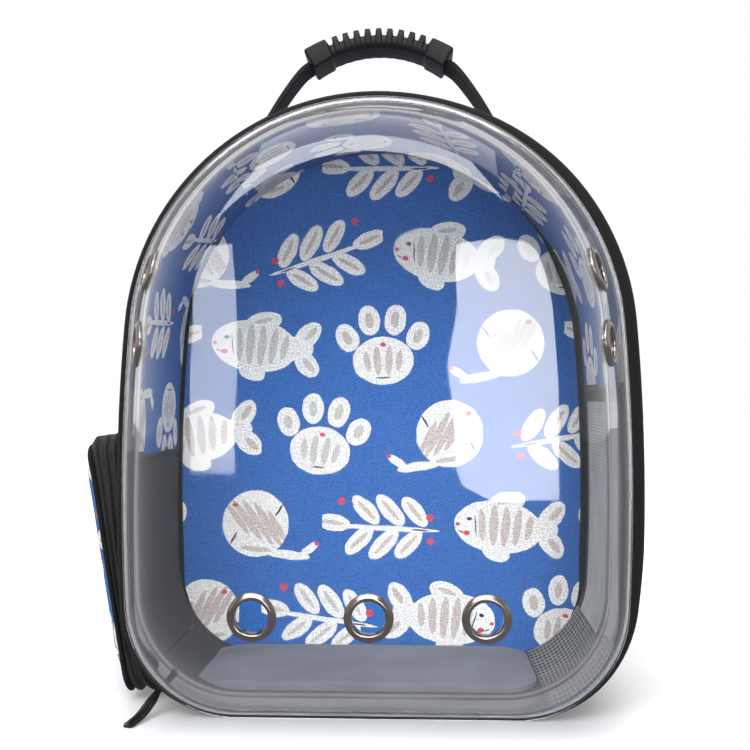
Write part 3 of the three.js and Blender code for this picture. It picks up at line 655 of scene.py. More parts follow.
def sew(
    name: str,
    lines: Iterable[Sequence[Vector]],
    thread: bpy.types.Material,
    pitch: float = 0.0034,
    width: float = 0.00042,
) -> None:
    """Makes rows of sewn stitches.

    Args:
        name: the piece's name.
        lines: for each row, points just above the cloth.
        thread: the stitches' material.
        pitch: the distance from one stitch to the next.
        width: half the thread's thickness on the cloth.
    """
    bm = bmesh.new()
    for line in lines:
        count = max(1, round(run_lengths(line)[-1] / pitch))
        for place, run in walk(line, count, 0.5):
            add_bead(bm, place, run, "Z", (pitch * 0.38, width * 1.2, width))
    bm.loops.layers.uv.new("UVMap")
    add_piece(name, bm, thread)


def cut_away(piece: bpy.types.Object, cutter: bmesh.types.BMesh) -> None:
    """Cuts a closed shape out of a piece and keeps the result as its mesh.

    Args:
        piece: the piece.
        cutter: the closed shape.
    """
    tool = new_object("cutter", cutter)
    modifier = piece.modifiers.new("cut", "BOOLEAN")
    modifier.operation, modifier.solver, modifier.object = "DIFFERENCE", "EXACT", tool
    bake_modifiers(piece)
    bpy.data.objects.remove(tool)


def bake_modifiers(piece: bpy.types.Object) -> None:
    """Keeps what a piece's modifiers give as its mesh.

    Args:
        piece: the piece.
    """
    evaluated = piece.evaluated_get(bpy.context.evaluated_depsgraph_get())
    mesh = bpy.data.meshes.new_from_object(evaluated)
    piece.modifiers.clear()
    piece.data = mesh


def smooth_lift(t: float) -> float:
    """Smooth step from 0 to 1."""
    t = min(max(t, 0), 1)
    return t * t * (3 - 2 * t)


# Finishes


class Tree:
    """Adds nodes to one node tree and links them, so that a finish reads like a formula."""

    def __init__(self, tree: bpy.types.NodeTree) -> None:
        """Starts on a tree."""
        self.tree = tree

    def plug(self, socket: bpy.types.NodeSocket, value: object) -> None:
        """Links a socket or sets its value; None leaves it alone.

        Args:
            socket: the input socket.
            value: a socket, a value or None.
        """
        if isinstance(value, bpy.types.NodeSocket):
            self.tree.links.new(value, socket)
        elif value is not None:
            socket.default_value = value

    def node(self, kind: str, *values: object, **settings: object) -> bpy.types.Node:
        """Adds a node.

        Args:
            kind: the node's type, without its ShaderNode prefix.
            values: what its inputs get, in order.
            settings: its properties.

        Returns:
            The node.
        """
        made = self.tree.nodes.new("ShaderNode" + kind)
        for key, value in settings.items():
            setattr(made, key, value)
        for socket, value in zip(made.inputs, values):
            self.plug(socket, value)
        return made

    def math(self, operation: str, *values: object) -> bpy.types.NodeSocket:
        """Adds a Math node and gives its result."""
        return self.node("Math", *values, operation=operation).outputs[0]

    def vector(self, operation: str, *values: object) -> bpy.types.NodeSocket:
        """Adds a Vector Math node and gives its result."""
        made = self.node("VectorMath", *values, operation=operation)
        return made.outputs["Value" if operation in ("LENGTH", "DOT_PRODUCT") else "Vector"]

    def mix(self, factor: object, low: object, high: object) -> bpy.types.NodeSocket:
        """Mixes two colours by a factor.

        Args:
            factor: the factor.
            low: the colour at 0.
            high: the colour at 1.

        Returns:
            The mixed colour.
        """
        made = self.node("Mix", data_type="RGBA")
        for index, value in ((0, factor), (6, low), (7, high)):
            self.plug(made.inputs[index], (*value, 1) if isinstance(value, tuple) else value)
        return made.outputs[2]

    def spread(
        self, value: object, low: float, high: float, new_low: float, new_high: float
    ) -> bpy.types.NodeSocket:
        """Maps a range of values to another, clamped."""
        return self.node("MapRange", value, low, high, new_low, new_high).outputs[0]

    def noise(self, vector: object, scale: float, detail: float = 2.0) -> bpy.types.NodeSocket:
        """Adds noise and gives its factor.

        Args:
            vector: the place.
            scale: the noise's scale.
            detail: its detail.

        Returns:
            The factor, about 0.5 on average.
        """
        made = self.node("TexNoise", vector)
        made.inputs["Scale"].default_value = scale
        made.inputs["Detail"].default_value = detail
        return made.outputs[0]

    def parts(self, vector: object) -> list[bpy.types.NodeSocket]:
        """Splits a vector into X, Y and Z."""
        return list(self.node("SeparateXYZ", vector).outputs)

    def join(self, x: object, y: object, z: object = 0.0) -> bpy.types.NodeSocket:
        """Joins three values into a vector."""
        return self.node("CombineXYZ", x, y, z).outputs[0]

    def oval(
        self, p: object, x: float, y: float, rx: float, ry: float, turn: float = 0
    ) -> bpy.types.NodeSocket:
        """Mask of a turned oval.

        Args:
            p: the place in the pattern.
            x: the oval's middle.
            y: the oval's middle.
            rx: half its width.
            ry: half its height.
            turn: its turn in degrees.

        Returns:
            1 inside and 0 outside.
        """
        spin = (0, 0, math.radians(turn))
        place = self.node("Mapping", p, (x, y, 0), spin, (rx, ry, 1), vector_type="TEXTURE")
        return self.math("LESS_THAN", self.vector("LENGTH", place.outputs[0]), 1.0)

    def any_of(self, masks: Sequence[object]) -> bpy.types.NodeSocket:
        """Largest of several masks.

        Args:
            masks: the masks.

        Returns:
            Their largest value.
        """
        found = masks[0]
        for mask in masks[1:]:
            found = self.math("MAXIMUM", found, mask)
        return found

    def ovals(self, p: object, rows: Iterable[tuple]) -> bpy.types.NodeSocket:
        """Largest of several ovals, each a row of oval()'s numbers."""
        return self.any_of([self.oval(p, *row) for row in rows])


def node_group(
    name: str, inputs: dict[str, object], outputs: Sequence[str], build: Callable[[Tree, dict], Sequence]
) -> bpy.types.NodeTree:
    """Makes a shader node group.

    Args:
        name: the group's name.
        inputs: its inputs' names and defaults, a number or a vector.
        outputs: its outputs' names.
        build: gets the tree and its input sockets, and gives the outputs' values.

    Returns:
        The group's tree.
    """
    tree = bpy.data.node_groups.new(name, "ShaderNodeTree")
    for key, value in inputs.items():
        kind = "NodeSocketVector" if isinstance(value, tuple) else "NodeSocketFloat"
        socket = tree.interface.new_socket(name=key, in_out="INPUT", socket_type=kind)
        socket.default_value = value
    for key in outputs:
        tree.interface.new_socket(name=key, in_out="OUTPUT", socket_type="NodeSocketFloat")
    start, end = tree.nodes.new("NodeGroupInput"), tree.nodes.new("NodeGroupOutput")
    t = Tree(tree)
    for socket, value in zip(end.inputs, build(t, {k: start.outputs[k] for k in inputs})):
        t.plug(socket, value)
    return tree


def weave_nodes(t: Tree, given: dict) -> list:
    """Plain weave: threads that pass over and under each other, with uneven yarn, and painted shade that
    darkens the dips between the threads.

    Args:
        t: the group's tree.
        given: the group's input sockets.

    Returns:
        The values of the group's outputs.
    """
    scaled = t.vector("SCALE", given["Vector"], None, None, t.math("DIVIDE", 2 * math.pi, given["Pitch"]))
    x, y, _ = t.parts(scaled)
    bumps = t.math("MULTIPLY", t.math("SINE", x), t.math("SINE", y))
    per_metre = t.vector("SCALE", scaled, None, None, 0.16)
    warp = t.noise(t.vector("MULTIPLY", per_metre, (1, 0.08, 1)), 1.0)
    weft = t.noise(t.vector("MULTIPLY", per_metre, (0.08, 1, 1)), 1.0)
    yarn = t.math("ADD", warp, weft)
    height = t.math("MULTIPLY_ADD", bumps, 0.35, t.math("MULTIPLY", yarn, 0.5))
    # Tone: uneven yarn colour, and painted shade that makes the raised threads lighter and the dips between
    # them darker.
    tone = t.math("MULTIPLY_ADD", bumps, 0.08, t.spread(yarn, 0.6, 1.4, 0.8, 1.16))
    return [height, tone]


def rib_nodes(t: Tree, given: dict) -> list:
    """Ribbed tape: cords across the tape, each wrapped by fine yarn, and painted shade that darkens the
    grooves between the cords.

    Args:
        t: the group's tree.
        given: the group's input sockets.

    Returns:
        The values of the group's outputs.
    """
    scaled = t.vector("SCALE", given["Vector"], None, None, t.math("DIVIDE", 2 * math.pi, given["Pitch"]))
    x, y, _ = t.parts(scaled)
    cords = t.math("SINE", x)
    wraps = t.math("SINE", t.math("MULTIPLY_ADD", y, 1.7, t.math("MULTIPLY", cords, 0.9)))
    fuzz = t.noise(scaled, 0.35, 3.0)
    height = t.math("MULTIPLY_ADD", cords, 0.3, t.math("MULTIPLY_ADD", wraps, 0.14, fuzz))
    # Tone: uneven fuzz, and painted shade that makes the cords lighter and the grooves between them darker.
    tone = t.math("MULTIPLY_ADD", cords, 0.16, t.spread(fuzz, 0.3, 0.7, 0.75, 1.3))
    return [height, tone]


def grain_nodes(t: Tree, given: dict) -> list:
    """Fine grain and broad unevenness of moulded and plated surfaces.

    Args:
        t: the group's tree.
        given: the group's input sockets.

    Returns:
        The values of the group's outputs.
    """
    fine = t.noise(given["Vector"], 2600.0, 2.0)
    broad = t.noise(given["Vector"], 38.0, 4.0)
    tone = t.math("MULTIPLY_ADD", fine, 0.22, t.spread(broad, 0.3, 0.7, 0.82, 0.98))
    return [fine, tone, broad]


def both(*rows: Oval) -> list[Oval]:
    """The rows, and after them their mirror images."""
    return [*rows, *((-x, y, rx, ry, -turn) for x, y, rx, ry, turn in rows)]


FISH = {
    "Shape": [
        (0.1, 0, 0.6, 0.36, 4),
        (0.0, 0.34, 0.26, 0.14, -15),
        (0.12, -0.35, 0.2, 0.12, 20),
        (-0.5, 0, 0.22, 0.16, 0),
        (-0.63, 0.19, 0.23, 0.14, -48),
        (-0.63, -0.19, 0.23, 0.14, 48),
    ],
    "Stripe": [
        (-0.32, 0, 0.05, 0.17, 10),
        (-0.16, 0.01, 0.055, 0.25, 6),
        (0.0, 0.01, 0.06, 0.28, 3),
        (0.16, 0.02, 0.06, 0.28, 0),
        (0.32, 0.02, 0.05, 0.22, -5),
        (-0.67, 0.22, 0.12, 0.045, -48),
        (-0.67, -0.22, 0.12, 0.045, 48),
        (0.0, 0.36, 0.13, 0.035, -15),
    ],
    "Accent": [(0.52, -0.1, 0.045, 0.032, 0), (0.655, 0.01, 0.03, 0.026, 0)],
    "Dark": [(0.5, 0.1, 0.036, 0.026, 0), (0.6, -0.09, 0.04, 0.009, 25), (0.41, 0.0, 0.009, 0.15, -8)],
}
PAW = {
    "Shape": [(0, -0.2, 0.42, 0.33, 0), *both((-0.49, 0.13, 0.155, 0.2, 24), (-0.18, 0.36, 0.15, 0.21, 8))],
    "Stripe": both(
        (-0.22, -0.21, 0.045, 0.14, 8),
        (-0.08, -0.2, 0.05, 0.2, 3),
        (-0.49, 0.13, 0.06, 0.1, 24),
        (-0.18, 0.36, 0.055, 0.11, 8),
    ),
    "Accent": [(0.0, 0.02, 0.04, 0.03, 0)],
    "Dark": [(0, -0.43, 0.1, 0.01, 0)],
}
BALL = {
    "Shape": [(-0.08, 0.04, 0.46, 0.46, 0), (0.34, -0.42, 0.3, 0.06, -10), (0.64, -0.36, 0.16, 0.055, 32)],
    "Stripe": [
        (-0.32, 0.12, 0.045, 0.26, 32),
        (-0.19, 0.1, 0.05, 0.34, 31),
        (-0.05, 0.06, 0.05, 0.38, 30),
        (0.09, 0.02, 0.05, 0.36, 28),
        (0.22, -0.03, 0.045, 0.26, 26),
        (-0.1, -0.31, 0.22, 0.035, -10),
    ],
    "Accent": [(-0.34, 0.32, 0.04, 0.03, 0), (0.75, -0.29, 0.035, 0.03, 0)],
    "Dark": [(0.26, 0.2, 0.014, 0.1, -35), (-0.4, -0.14, 0.014, 0.1, -30)],
}
LEAVES = [
    (-0.46, 0.15, 0.25, 0.115, 58),
    (-0.13, 0.21, 0.27, 0.12, 56),
    (0.2, 0.26, 0.25, 0.115, 54),
    (-0.32, -0.28, 0.25, 0.115, -38),
    (0.02, -0.24, 0.27, 0.12, -38),
    (0.35, -0.15, 0.25, 0.115, -36),
    (0.68, 0.14, 0.24, 0.115, 14),
]
SPRIG = {
    "Shape": [(0, -0.02, 0.78, 0.035, 10), *LEAVES],
    "Stripe": [(x, y, rx - 0.08, 0.03, turn) for x, y, rx, _, turn in LEAVES],
    "Accent": [(-0.66, 0.04, 0.055, 0.05, 0), (0.52, 0.42, 0.05, 0.05, 0), (-0.62, -0.28, 0.05, 0.045, 0)],
    "Dark": [(-0.5, -0.11, 0.12, 0.011, 10)],
}
MASKS = ("Shape", "Stripe", "Accent", "Dark")
TILE = (0.100, 0.074)
TILE_SPAN = 1.68
PRINT_BLUE = (0.036, 0.138, 0.43)


def motif_group(name: str, rows: dict[str, list[tuple]]) -> bpy.types.NodeTree:
    """Makes the group that draws one motif of the print from its ovals."""
    build = lambda t, given: [t.ovals(given["Vector"], rows[key]) for key in MASKS]
    return node_group(name, {"Vector": (0.0, 0.0, 0.0)}, MASKS, build)


def print_nodes(t: Tree, given: dict) -> list:
    """Staggered rows of four motifs, each turned a little and some mirrored.

    Args:
        t: the group's tree.
        given: the group's input sockets.

    Returns:
        The values of the group's outputs.
    """
    wobble = t.node("TexNoise", given["Vector"])
    wobble.inputs["Scale"].default_value = 90.0
    drift = t.vector("SCALE", t.vector("SUBTRACT", wobble.outputs[1], (0.5, 0.5, 0.5)), None, None, 0.0022)
    x, y, _ = t.parts(t.vector("DIVIDE", t.vector("ADD", given["Vector"], drift), (*TILE, 1)))
    row = t.math("FLOOR", y)
    x = t.math("MULTIPLY_ADD", t.math("MODULO", t.math("ADD", row, 40.0), 2.0), 0.5, x)
    column = t.math("FLOOR", x)
    chance = t.node("TexWhiteNoise", t.join(column, row), noise_dimensions="2D")
    turn_share, flip_share, tint = t.parts(chance.outputs["Color"])
    spans = (TILE_SPAN, TILE_SPAN * TILE[1] / TILE[0])
    inside = [t.math("MULTIPLY_ADD", t.math("FRACT", v), span, -span / 2) for v, span in zip((x, y), spans)]
    local = t.join(*inside)
    turn = t.math("MULTIPLY_ADD", turn_share, 0.36, -0.18)
    turned = t.node("VectorRotate", local, rotation_type="Z_AXIS")
    t.plug(turned.inputs["Angle"], turn)
    lx, ly, _ = t.parts(turned.outputs[0])
    sign = t.math("SIGN", t.math("SUBTRACT", flip_share, 0.5))
    place = t.join(t.math("MULTIPLY", lx, sign), ly)
    step = t.math("MULTIPLY_ADD", row, 3.0, column)
    kind = t.math("MODULO", t.math("ADD", step, 400.0), 4.0)
    totals = [0.0] * len(MASKS)
    for index, rows in enumerate((FISH, PAW, BALL, SPRIG)):
        drawn = t.node("Group", node_tree=motif_group(f"Motif {index + 1}", rows))
        t.plug(drawn.inputs[0], place)
        chosen = t.math("COMPARE", kind, float(index), 0.5)
        masks = (drawn.outputs[key] for key in MASKS)
        totals = [t.math("MULTIPLY_ADD", mask, chosen, total) for mask, total in zip(masks, totals)]
    return [*totals, tint]


class Groups:
    """The node groups that the finishes share."""

    def __init__(self) -> None:
        """Builds each group once."""
        vector = (0.0, 0.0, 0.0)
        cloth, made = {"Vector": vector, "Pitch": 0.001}, ("Height", "Tone")
        self.weave = node_group("Plain weave", cloth, made, weave_nodes)
        self.ribs = node_group("Ribbed weave", cloth, made, rib_nodes)
        self.grain = node_group("Grain", {"Vector": vector}, ("Height", "Tone", "Broad"), grain_nodes)
        self.motifs = node_group("Motif print", {"Vector": vector}, (*MASKS, "Tint"), print_nodes)


@dataclass(frozen=True)
class Finish:
    """What every finish has: a name, a colour and a roughness."""

    name: str
    color: Color
    roughness: float = 0.8

    def start(self) -> tuple[bpy.types.Material, Tree, bpy.types.Node]:
        """Makes an empty material.

        Returns:
            The material, its tree and its shader.
        """
        material = bpy.data.materials.new(self.name)
        material.use_nodes = True
        material.diffuse_color = (*self.color, 1)
        shader = material.node_tree.nodes["Principled BSDF"]
        shader.inputs["Base Color"].default_value = (*self.color, 1)
        shader.inputs["Roughness"].default_value = self.roughness
        return material, Tree(material.node_tree), shader

    def shade(self, t: Tree, tone: object, color: object = None) -> bpy.types.NodeSocket:
        """Multiplies the finish's colour by a tone.

        Args:
            t: the material's tree.
            tone: the tone.
            color: a colour in place of the finish's.

        Returns:
            The colour.
        """
        made = t.node("Mix", data_type="RGBA", blend_type="MULTIPLY")
        base = (*self.color, 1) if color is None else color
        for index, value in ((0, 1.0), (6, base), (7, tone)):
            t.plug(made.inputs[index], value)
        return made.outputs[2]

    def bump(self, t: Tree, shader: bpy.types.Node, height: object, distance: float) -> None:
        """Feeds a height to the shader's normal.

        Args:
            t: the material's tree.
            shader: its shader.
            height: the height, from 0 to about 1.
            distance: what a height of 1 stands for.
        """
        made = t.node("Bump")
        made.inputs["Distance"].default_value = distance
        t.plug(made.inputs["Height"], height)
        t.plug(shader.inputs["Normal"], made.outputs[0])


@dataclass(frozen=True)
class Cloth(Finish):
    """Woven cloth or tape whose threads follow the piece's UV map."""

    pitch: float = 0.001
    relief: float = 0.0002
    sheen: float = 0.04
    gloss: float = 0.22
    ribbed: bool = False

    def build(self, groups: Groups) -> bpy.types.Material:
        """Makes the material.

        Args:
            groups: the shared node groups.

        Returns:
            The material.
        """
        material, t, shader = self.start()
        uv = t.node("UVMap", uv_map="UVMap").outputs[0]
        woven = t.node("Group", node_tree=groups.ribs if self.ribbed else groups.weave)
        t.plug(woven.inputs["Vector"], uv)
        woven.inputs["Pitch"].default_value = self.pitch
        place = t.node("TexCoord").outputs["Object"]
        wear = t.spread(t.noise(place, 24.0, 4.0), 0.35, 0.7, 0.88, 1.12)
        # The weave's tone carries painted shade between the threads; wear is random tone.
        tone = t.math("MULTIPLY", woven.outputs["Tone"], wear)
        t.plug(shader.inputs["Base Color"], self.shade(t, tone))
        rough = t.spread(woven.outputs["Height"], 0.2, 1.0, self.roughness - 0.08, self.roughness + 0.08)
        t.plug(shader.inputs["Roughness"], rough)
        shader.inputs["Sheen Weight"].default_value = self.sheen
        shader.inputs["Specular IOR Level"].default_value = self.gloss
        self.bump(t, shader, woven.outputs["Height"], self.relief)
        return material


@dataclass(frozen=True)
class PrintedCloth(Finish):
    """Canvas with a printed pattern of generic motifs."""

    light: Color = (0.84, 0.83, 0.81)
    grey: Color = (0.52, 0.51, 0.48)
    taupe: Color = (0.53, 0.45, 0.41)
    accent: Color = (0.62, 0.07, 0.12)
    dark: Color = (0.03, 0.035, 0.06)
    pitch: float = 0.0011
    relief: float = 0.00018
    start_at: Place = (0.0, 0.0, 0.0)
    turn: float = 0.0

    def build(self, groups: Groups) -> bpy.types.Material:
        """Makes the material.

        Args:
            groups: the shared node groups.

        Returns:
            The material.
        """
        material, t, shader = self.start()
        uv = t.node("UVMap", uv_map="UVMap").outputs[0]
        laid = t.node("Mapping", uv, self.start_at, (0, 0, self.turn)).outputs[0]
        print_ = t.node("Group", node_tree=groups.motifs)
        t.plug(print_.inputs["Vector"], laid)
        woven = t.node("Group", node_tree=groups.weave)
        t.plug(woven.inputs["Vector"], uv)
        woven.inputs["Pitch"].default_value = self.pitch
        wash = t.noise(uv, 420.0, 3.0)
        stripe = t.mix(t.math("GREATER_THAN", print_.outputs["Tint"], 0.5), self.grey, self.taupe)
        ink = t.math("MULTIPLY", print_.outputs["Stripe"], t.spread(wash, 0.3, 0.7, 0.72, 1.0))
        color = t.mix(print_.outputs["Shape"], self.color, self.light)
        color = t.mix(t.math("MULTIPLY", ink, print_.outputs["Shape"]), color, stripe)
        color = t.mix(print_.outputs["Accent"], color, self.accent)
        color = t.mix(print_.outputs["Dark"], color, self.dark)
        speck = t.spread(t.noise(uv, 850.0, 2.0), 0.3, 0.7, 0.6, 1.4)
        # The weave's tone carries painted shade between the threads; the speck is random grain.
        tone = t.math("MULTIPLY", woven.outputs["Tone"], speck)
        t.plug(shader.inputs["Base Color"], self.shade(t, tone, color))
        shader.inputs["Sheen Weight"].default_value = 0.03
        shader.inputs["Specular IOR Level"].default_value = 0.3
        self.bump(t, shader, woven.outputs["Height"], self.relief)
        return material


@dataclass(frozen=True)
class Solid(Finish):
    """Moulded plastic, enamel or plating, with grain from the place on the object."""

    metallic: float = 0.0
    relief: float = 0.00006
    coat: float = 0.0
    spread: float = 0.08
    gloss: float = 0.5

    def build(self, groups: Groups) -> bpy.types.Material:
        """Makes the material.

        Args:
            groups: the shared node groups.

        Returns:
            The material.
        """
        material, t, shader = self.start()
        grain = t.node("Group", node_tree=groups.grain)
        t.plug(grain.inputs["Vector"], t.node("TexCoord").outputs["Object"])
        t.plug(shader.inputs["Base Color"], self.shade(t, grain.outputs["Tone"]))
        smooth, dull = self.roughness - self.spread, self.roughness + self.spread
        rough = t.spread(grain.outputs["Broad"], 0.3, 0.7, smooth, dull)
        t.plug(shader.inputs["Roughness"], rough)
        shader.inputs["Metallic"].default_value = self.metallic
        shader.inputs["Specular IOR Level"].default_value = self.gloss
        shader.inputs["Coat Weight"].default_value = self.coat
        self.bump(t, shader, grain.outputs["Height"], self.relief)
        return material


@dataclass(frozen=True)
class ClearSheet(Finish):
    """Clear plastic sheet with a slight ripple; light falls through it on what is inside."""

    shadow: Color = (0.94, 0.95, 0.955)
    ior: float = 1.46
    veil: float = 0.16
    relief: float = 0.0003

    def build(self, groups: Groups) -> bpy.types.Material:
        """Makes the material.

        Args:
            groups: the shared node groups; not used.

        Returns:
            The material.
        """
        material, t, shader = self.start()
        place = t.node("TexCoord").outputs["Object"]
        shader.inputs["Transmission Weight"].default_value = 1.0
        shader.inputs["IOR"].default_value = self.ior
        haze = t.spread(t.noise(place, 30.0, 5.0), 0.45, 0.75, self.roughness, self.roughness + 0.05)
        t.plug(shader.inputs["Roughness"], haze)
        ripple = t.noise(place, 14.0, 1.0)
        self.bump(t, shader, ripple, self.relief)
        through = t.node("BsdfTransparent", (*self.shadow, 1))
        path = t.node("LightPath")
        facing = t.node("LayerWeight", 0.5).outputs["Facing"]
        veil = t.math("MULTIPLY", t.math("POWER", facing, 2.0), self.veil)
        milky = t.node("BsdfDiffuse", (0.6, 0.6, 0.61, 1))
        body = t.node("MixShader", veil, shader.outputs[0], milky.outputs[0])
        both = t.node("MixShader", path.outputs["Is Shadow Ray"], body.outputs[0], through.outputs[0])
        t.plug(material.node_tree.nodes["Material Output"].inputs["Surface"], both.outputs[0])
        return material


@dataclass(frozen=True)
class Palette:
    """Every material of the bag, by what it is made of."""

    materials: dict[str, bpy.types.Material] = field(default_factory=dict)

    def make(self) -> None:
        """Builds the materials from their finishes."""
        groups = Groups()
        finishes = (
            ClearSheet("clear_sheet", (0.94, 0.95, 0.96), 0.012),
            Solid("dark_nickel", (0.30, 0.265, 0.245), 0.2, metallic=1.0, relief=0.00002),
            PrintedCloth("printed_panel", PRINT_BLUE, 0.85),
            PrintedCloth("printed_arch", PRINT_BLUE, 0.85, turn=math.pi / 2, start_at=(0.013, 0.02, 0)),
            Cloth("grey_lining", (0.045, 0.0455, 0.049), 0.88, pitch=0.0009, sheen=0.05),
            Cloth("edge_lining", (0.30, 0.30, 0.305), 0.88, pitch=0.0009),
            Cloth("felted_mat", (0.17, 0.173, 0.205), 0.95, pitch=0.0016, relief=0.0003, sheen=0.1),
            Cloth("pack_cloth", (0.012, 0.012, 0.0125), 0.6, pitch=0.0008, relief=0.00022, gloss=0.5),
            Cloth("binding_tape", (0.0042, 0.0042, 0.0045), 0.74, pitch=0.0012, relief=0.0003, ribbed=True),
            Cloth("webbing", (0.0095, 0.0095, 0.0095), 0.74, pitch=0.0019, relief=0.0004, ribbed=True),
            Cloth("air_mesh", (0.028, 0.028, 0.030), 0.9, pitch=0.0028, relief=0.0007, sheen=0.1),
            Cloth("net_yarn", (0.40, 0.41, 0.415), 0.8, pitch=0.0006, relief=0.0001),
            Cloth("thread", (0.05, 0.05, 0.052), 0.6, pitch=0.0007, relief=0.0001, ribbed=True),
            Solid("zip_plastic", (0.010, 0.010, 0.011), 0.38),
            Solid("enamel", (0.009, 0.009, 0.010), 0.25, coat=0.4, relief=0.00002),
            Solid("moulded_grip", (0.0045, 0.0045, 0.0047), 0.5, relief=0.0001, gloss=0.28),
        )
        for finish in finishes:
            self.materials[finish.name] = finish.build(groups)

    def __getitem__(self, name: str) -> bpy.types.Material:
        """The material of that name."""
        return self.materials[name]


# Clear shell and eyelets


@dataclass(frozen=True)
class ShellProfile:
    """Cross-section of the shell from its flange over its drafted wall to its domed face."""

    wall: float = 0.002
    flange: float = 0.0025
    lip: float = 0.0025
    depth: float = 0.062
    draft: float = math.radians(20)
    edge_radius: float = 0.040
    last_angle: float = math.radians(85)
    rise: float = 0.006
    sweep: float = 1.25
    tightening: float = 0.5
    edge_steps: int = 18
    wall_steps: int = 10
    face_steps: int = 12

    def outline(self, depth: float, inset: float) -> Ring:
        """The shell's ring at a depth in front of the zip plane.

        Args:
            depth: the depth.
            inset: distance inwards from the rim.

        Returns:
            The ring.
        """
        floor = SHELL_FLOOR + inset * self.sweep
        radius = ARCH.corner_radius - SHELL_FLOOR - inset * self.tightening
        return ring_of(FULL, FRONT_Y - depth, inset, floor, radius)

    def rows(self, under: float) -> list[tuple[float, float]]:
        """Depths and insets of one side of the sheet.

        Args:
            under: how far it lies under the outside.

        Returns:
            Rows from the zip plane to the face's edge.
        """
        slope = math.tan(self.draft)
        arc_inset = self.lip + (self.depth - self.flange) * slope
        radius, out = self.edge_radius, Vector((-math.sin(self.draft), math.cos(self.draft)))
        centre = Vector((self.depth, arc_inset)) + out * radius
        radius -= under
        edge = []
        for k in range(self.edge_steps + 1):
            angle = self.draft + (self.last_angle - self.draft) * k / self.edge_steps
            edge.append((centre.x + radius * math.sin(angle), centre.y - radius * math.cos(angle)))
        start = 0.0 if under else self.flange + 0.0012
        last = Vector(edge[0])
        first = Vector((start, last.y - (last.x - start) * slope))
        wall = [tuple(first.lerp(last, k / self.wall_steps)) for k in range(self.wall_steps)]
        if under:
            return [*wall, *edge]
        soft, top, lip = 0.0005, self.flange, self.lip
        flange = [(0, soft), (soft, 0), (top - soft, 0), (top, soft)]
        flange += [(top, lip - 0.0006), (top + 0.0003, lip)]
        return [*flange, *wall, *edge]

    def side(self, under: float) -> list[Ring]:
        """Rings of one side of the sheet, from the zip plane to the middle of the face.

        Args:
            under: how far it lies under the outside.

        Returns:
            The rings in order.
        """
        rings = [self.outline(*row) for row in self.rows(under)]
        edge = rings[-1]
        heights = [p.z for p in edge]
        middle = Vector((0, edge[0].y, (min(heights) + max(heights)) / 2))
        for k in range(1, self.face_steps + 1):
            share = 1 - k / self.face_steps
            lift = Vector((0, -self.rise * (1 - share**2), 0))
            rings.append([middle.lerp(p, share) + lift for p in edge])
        return rings


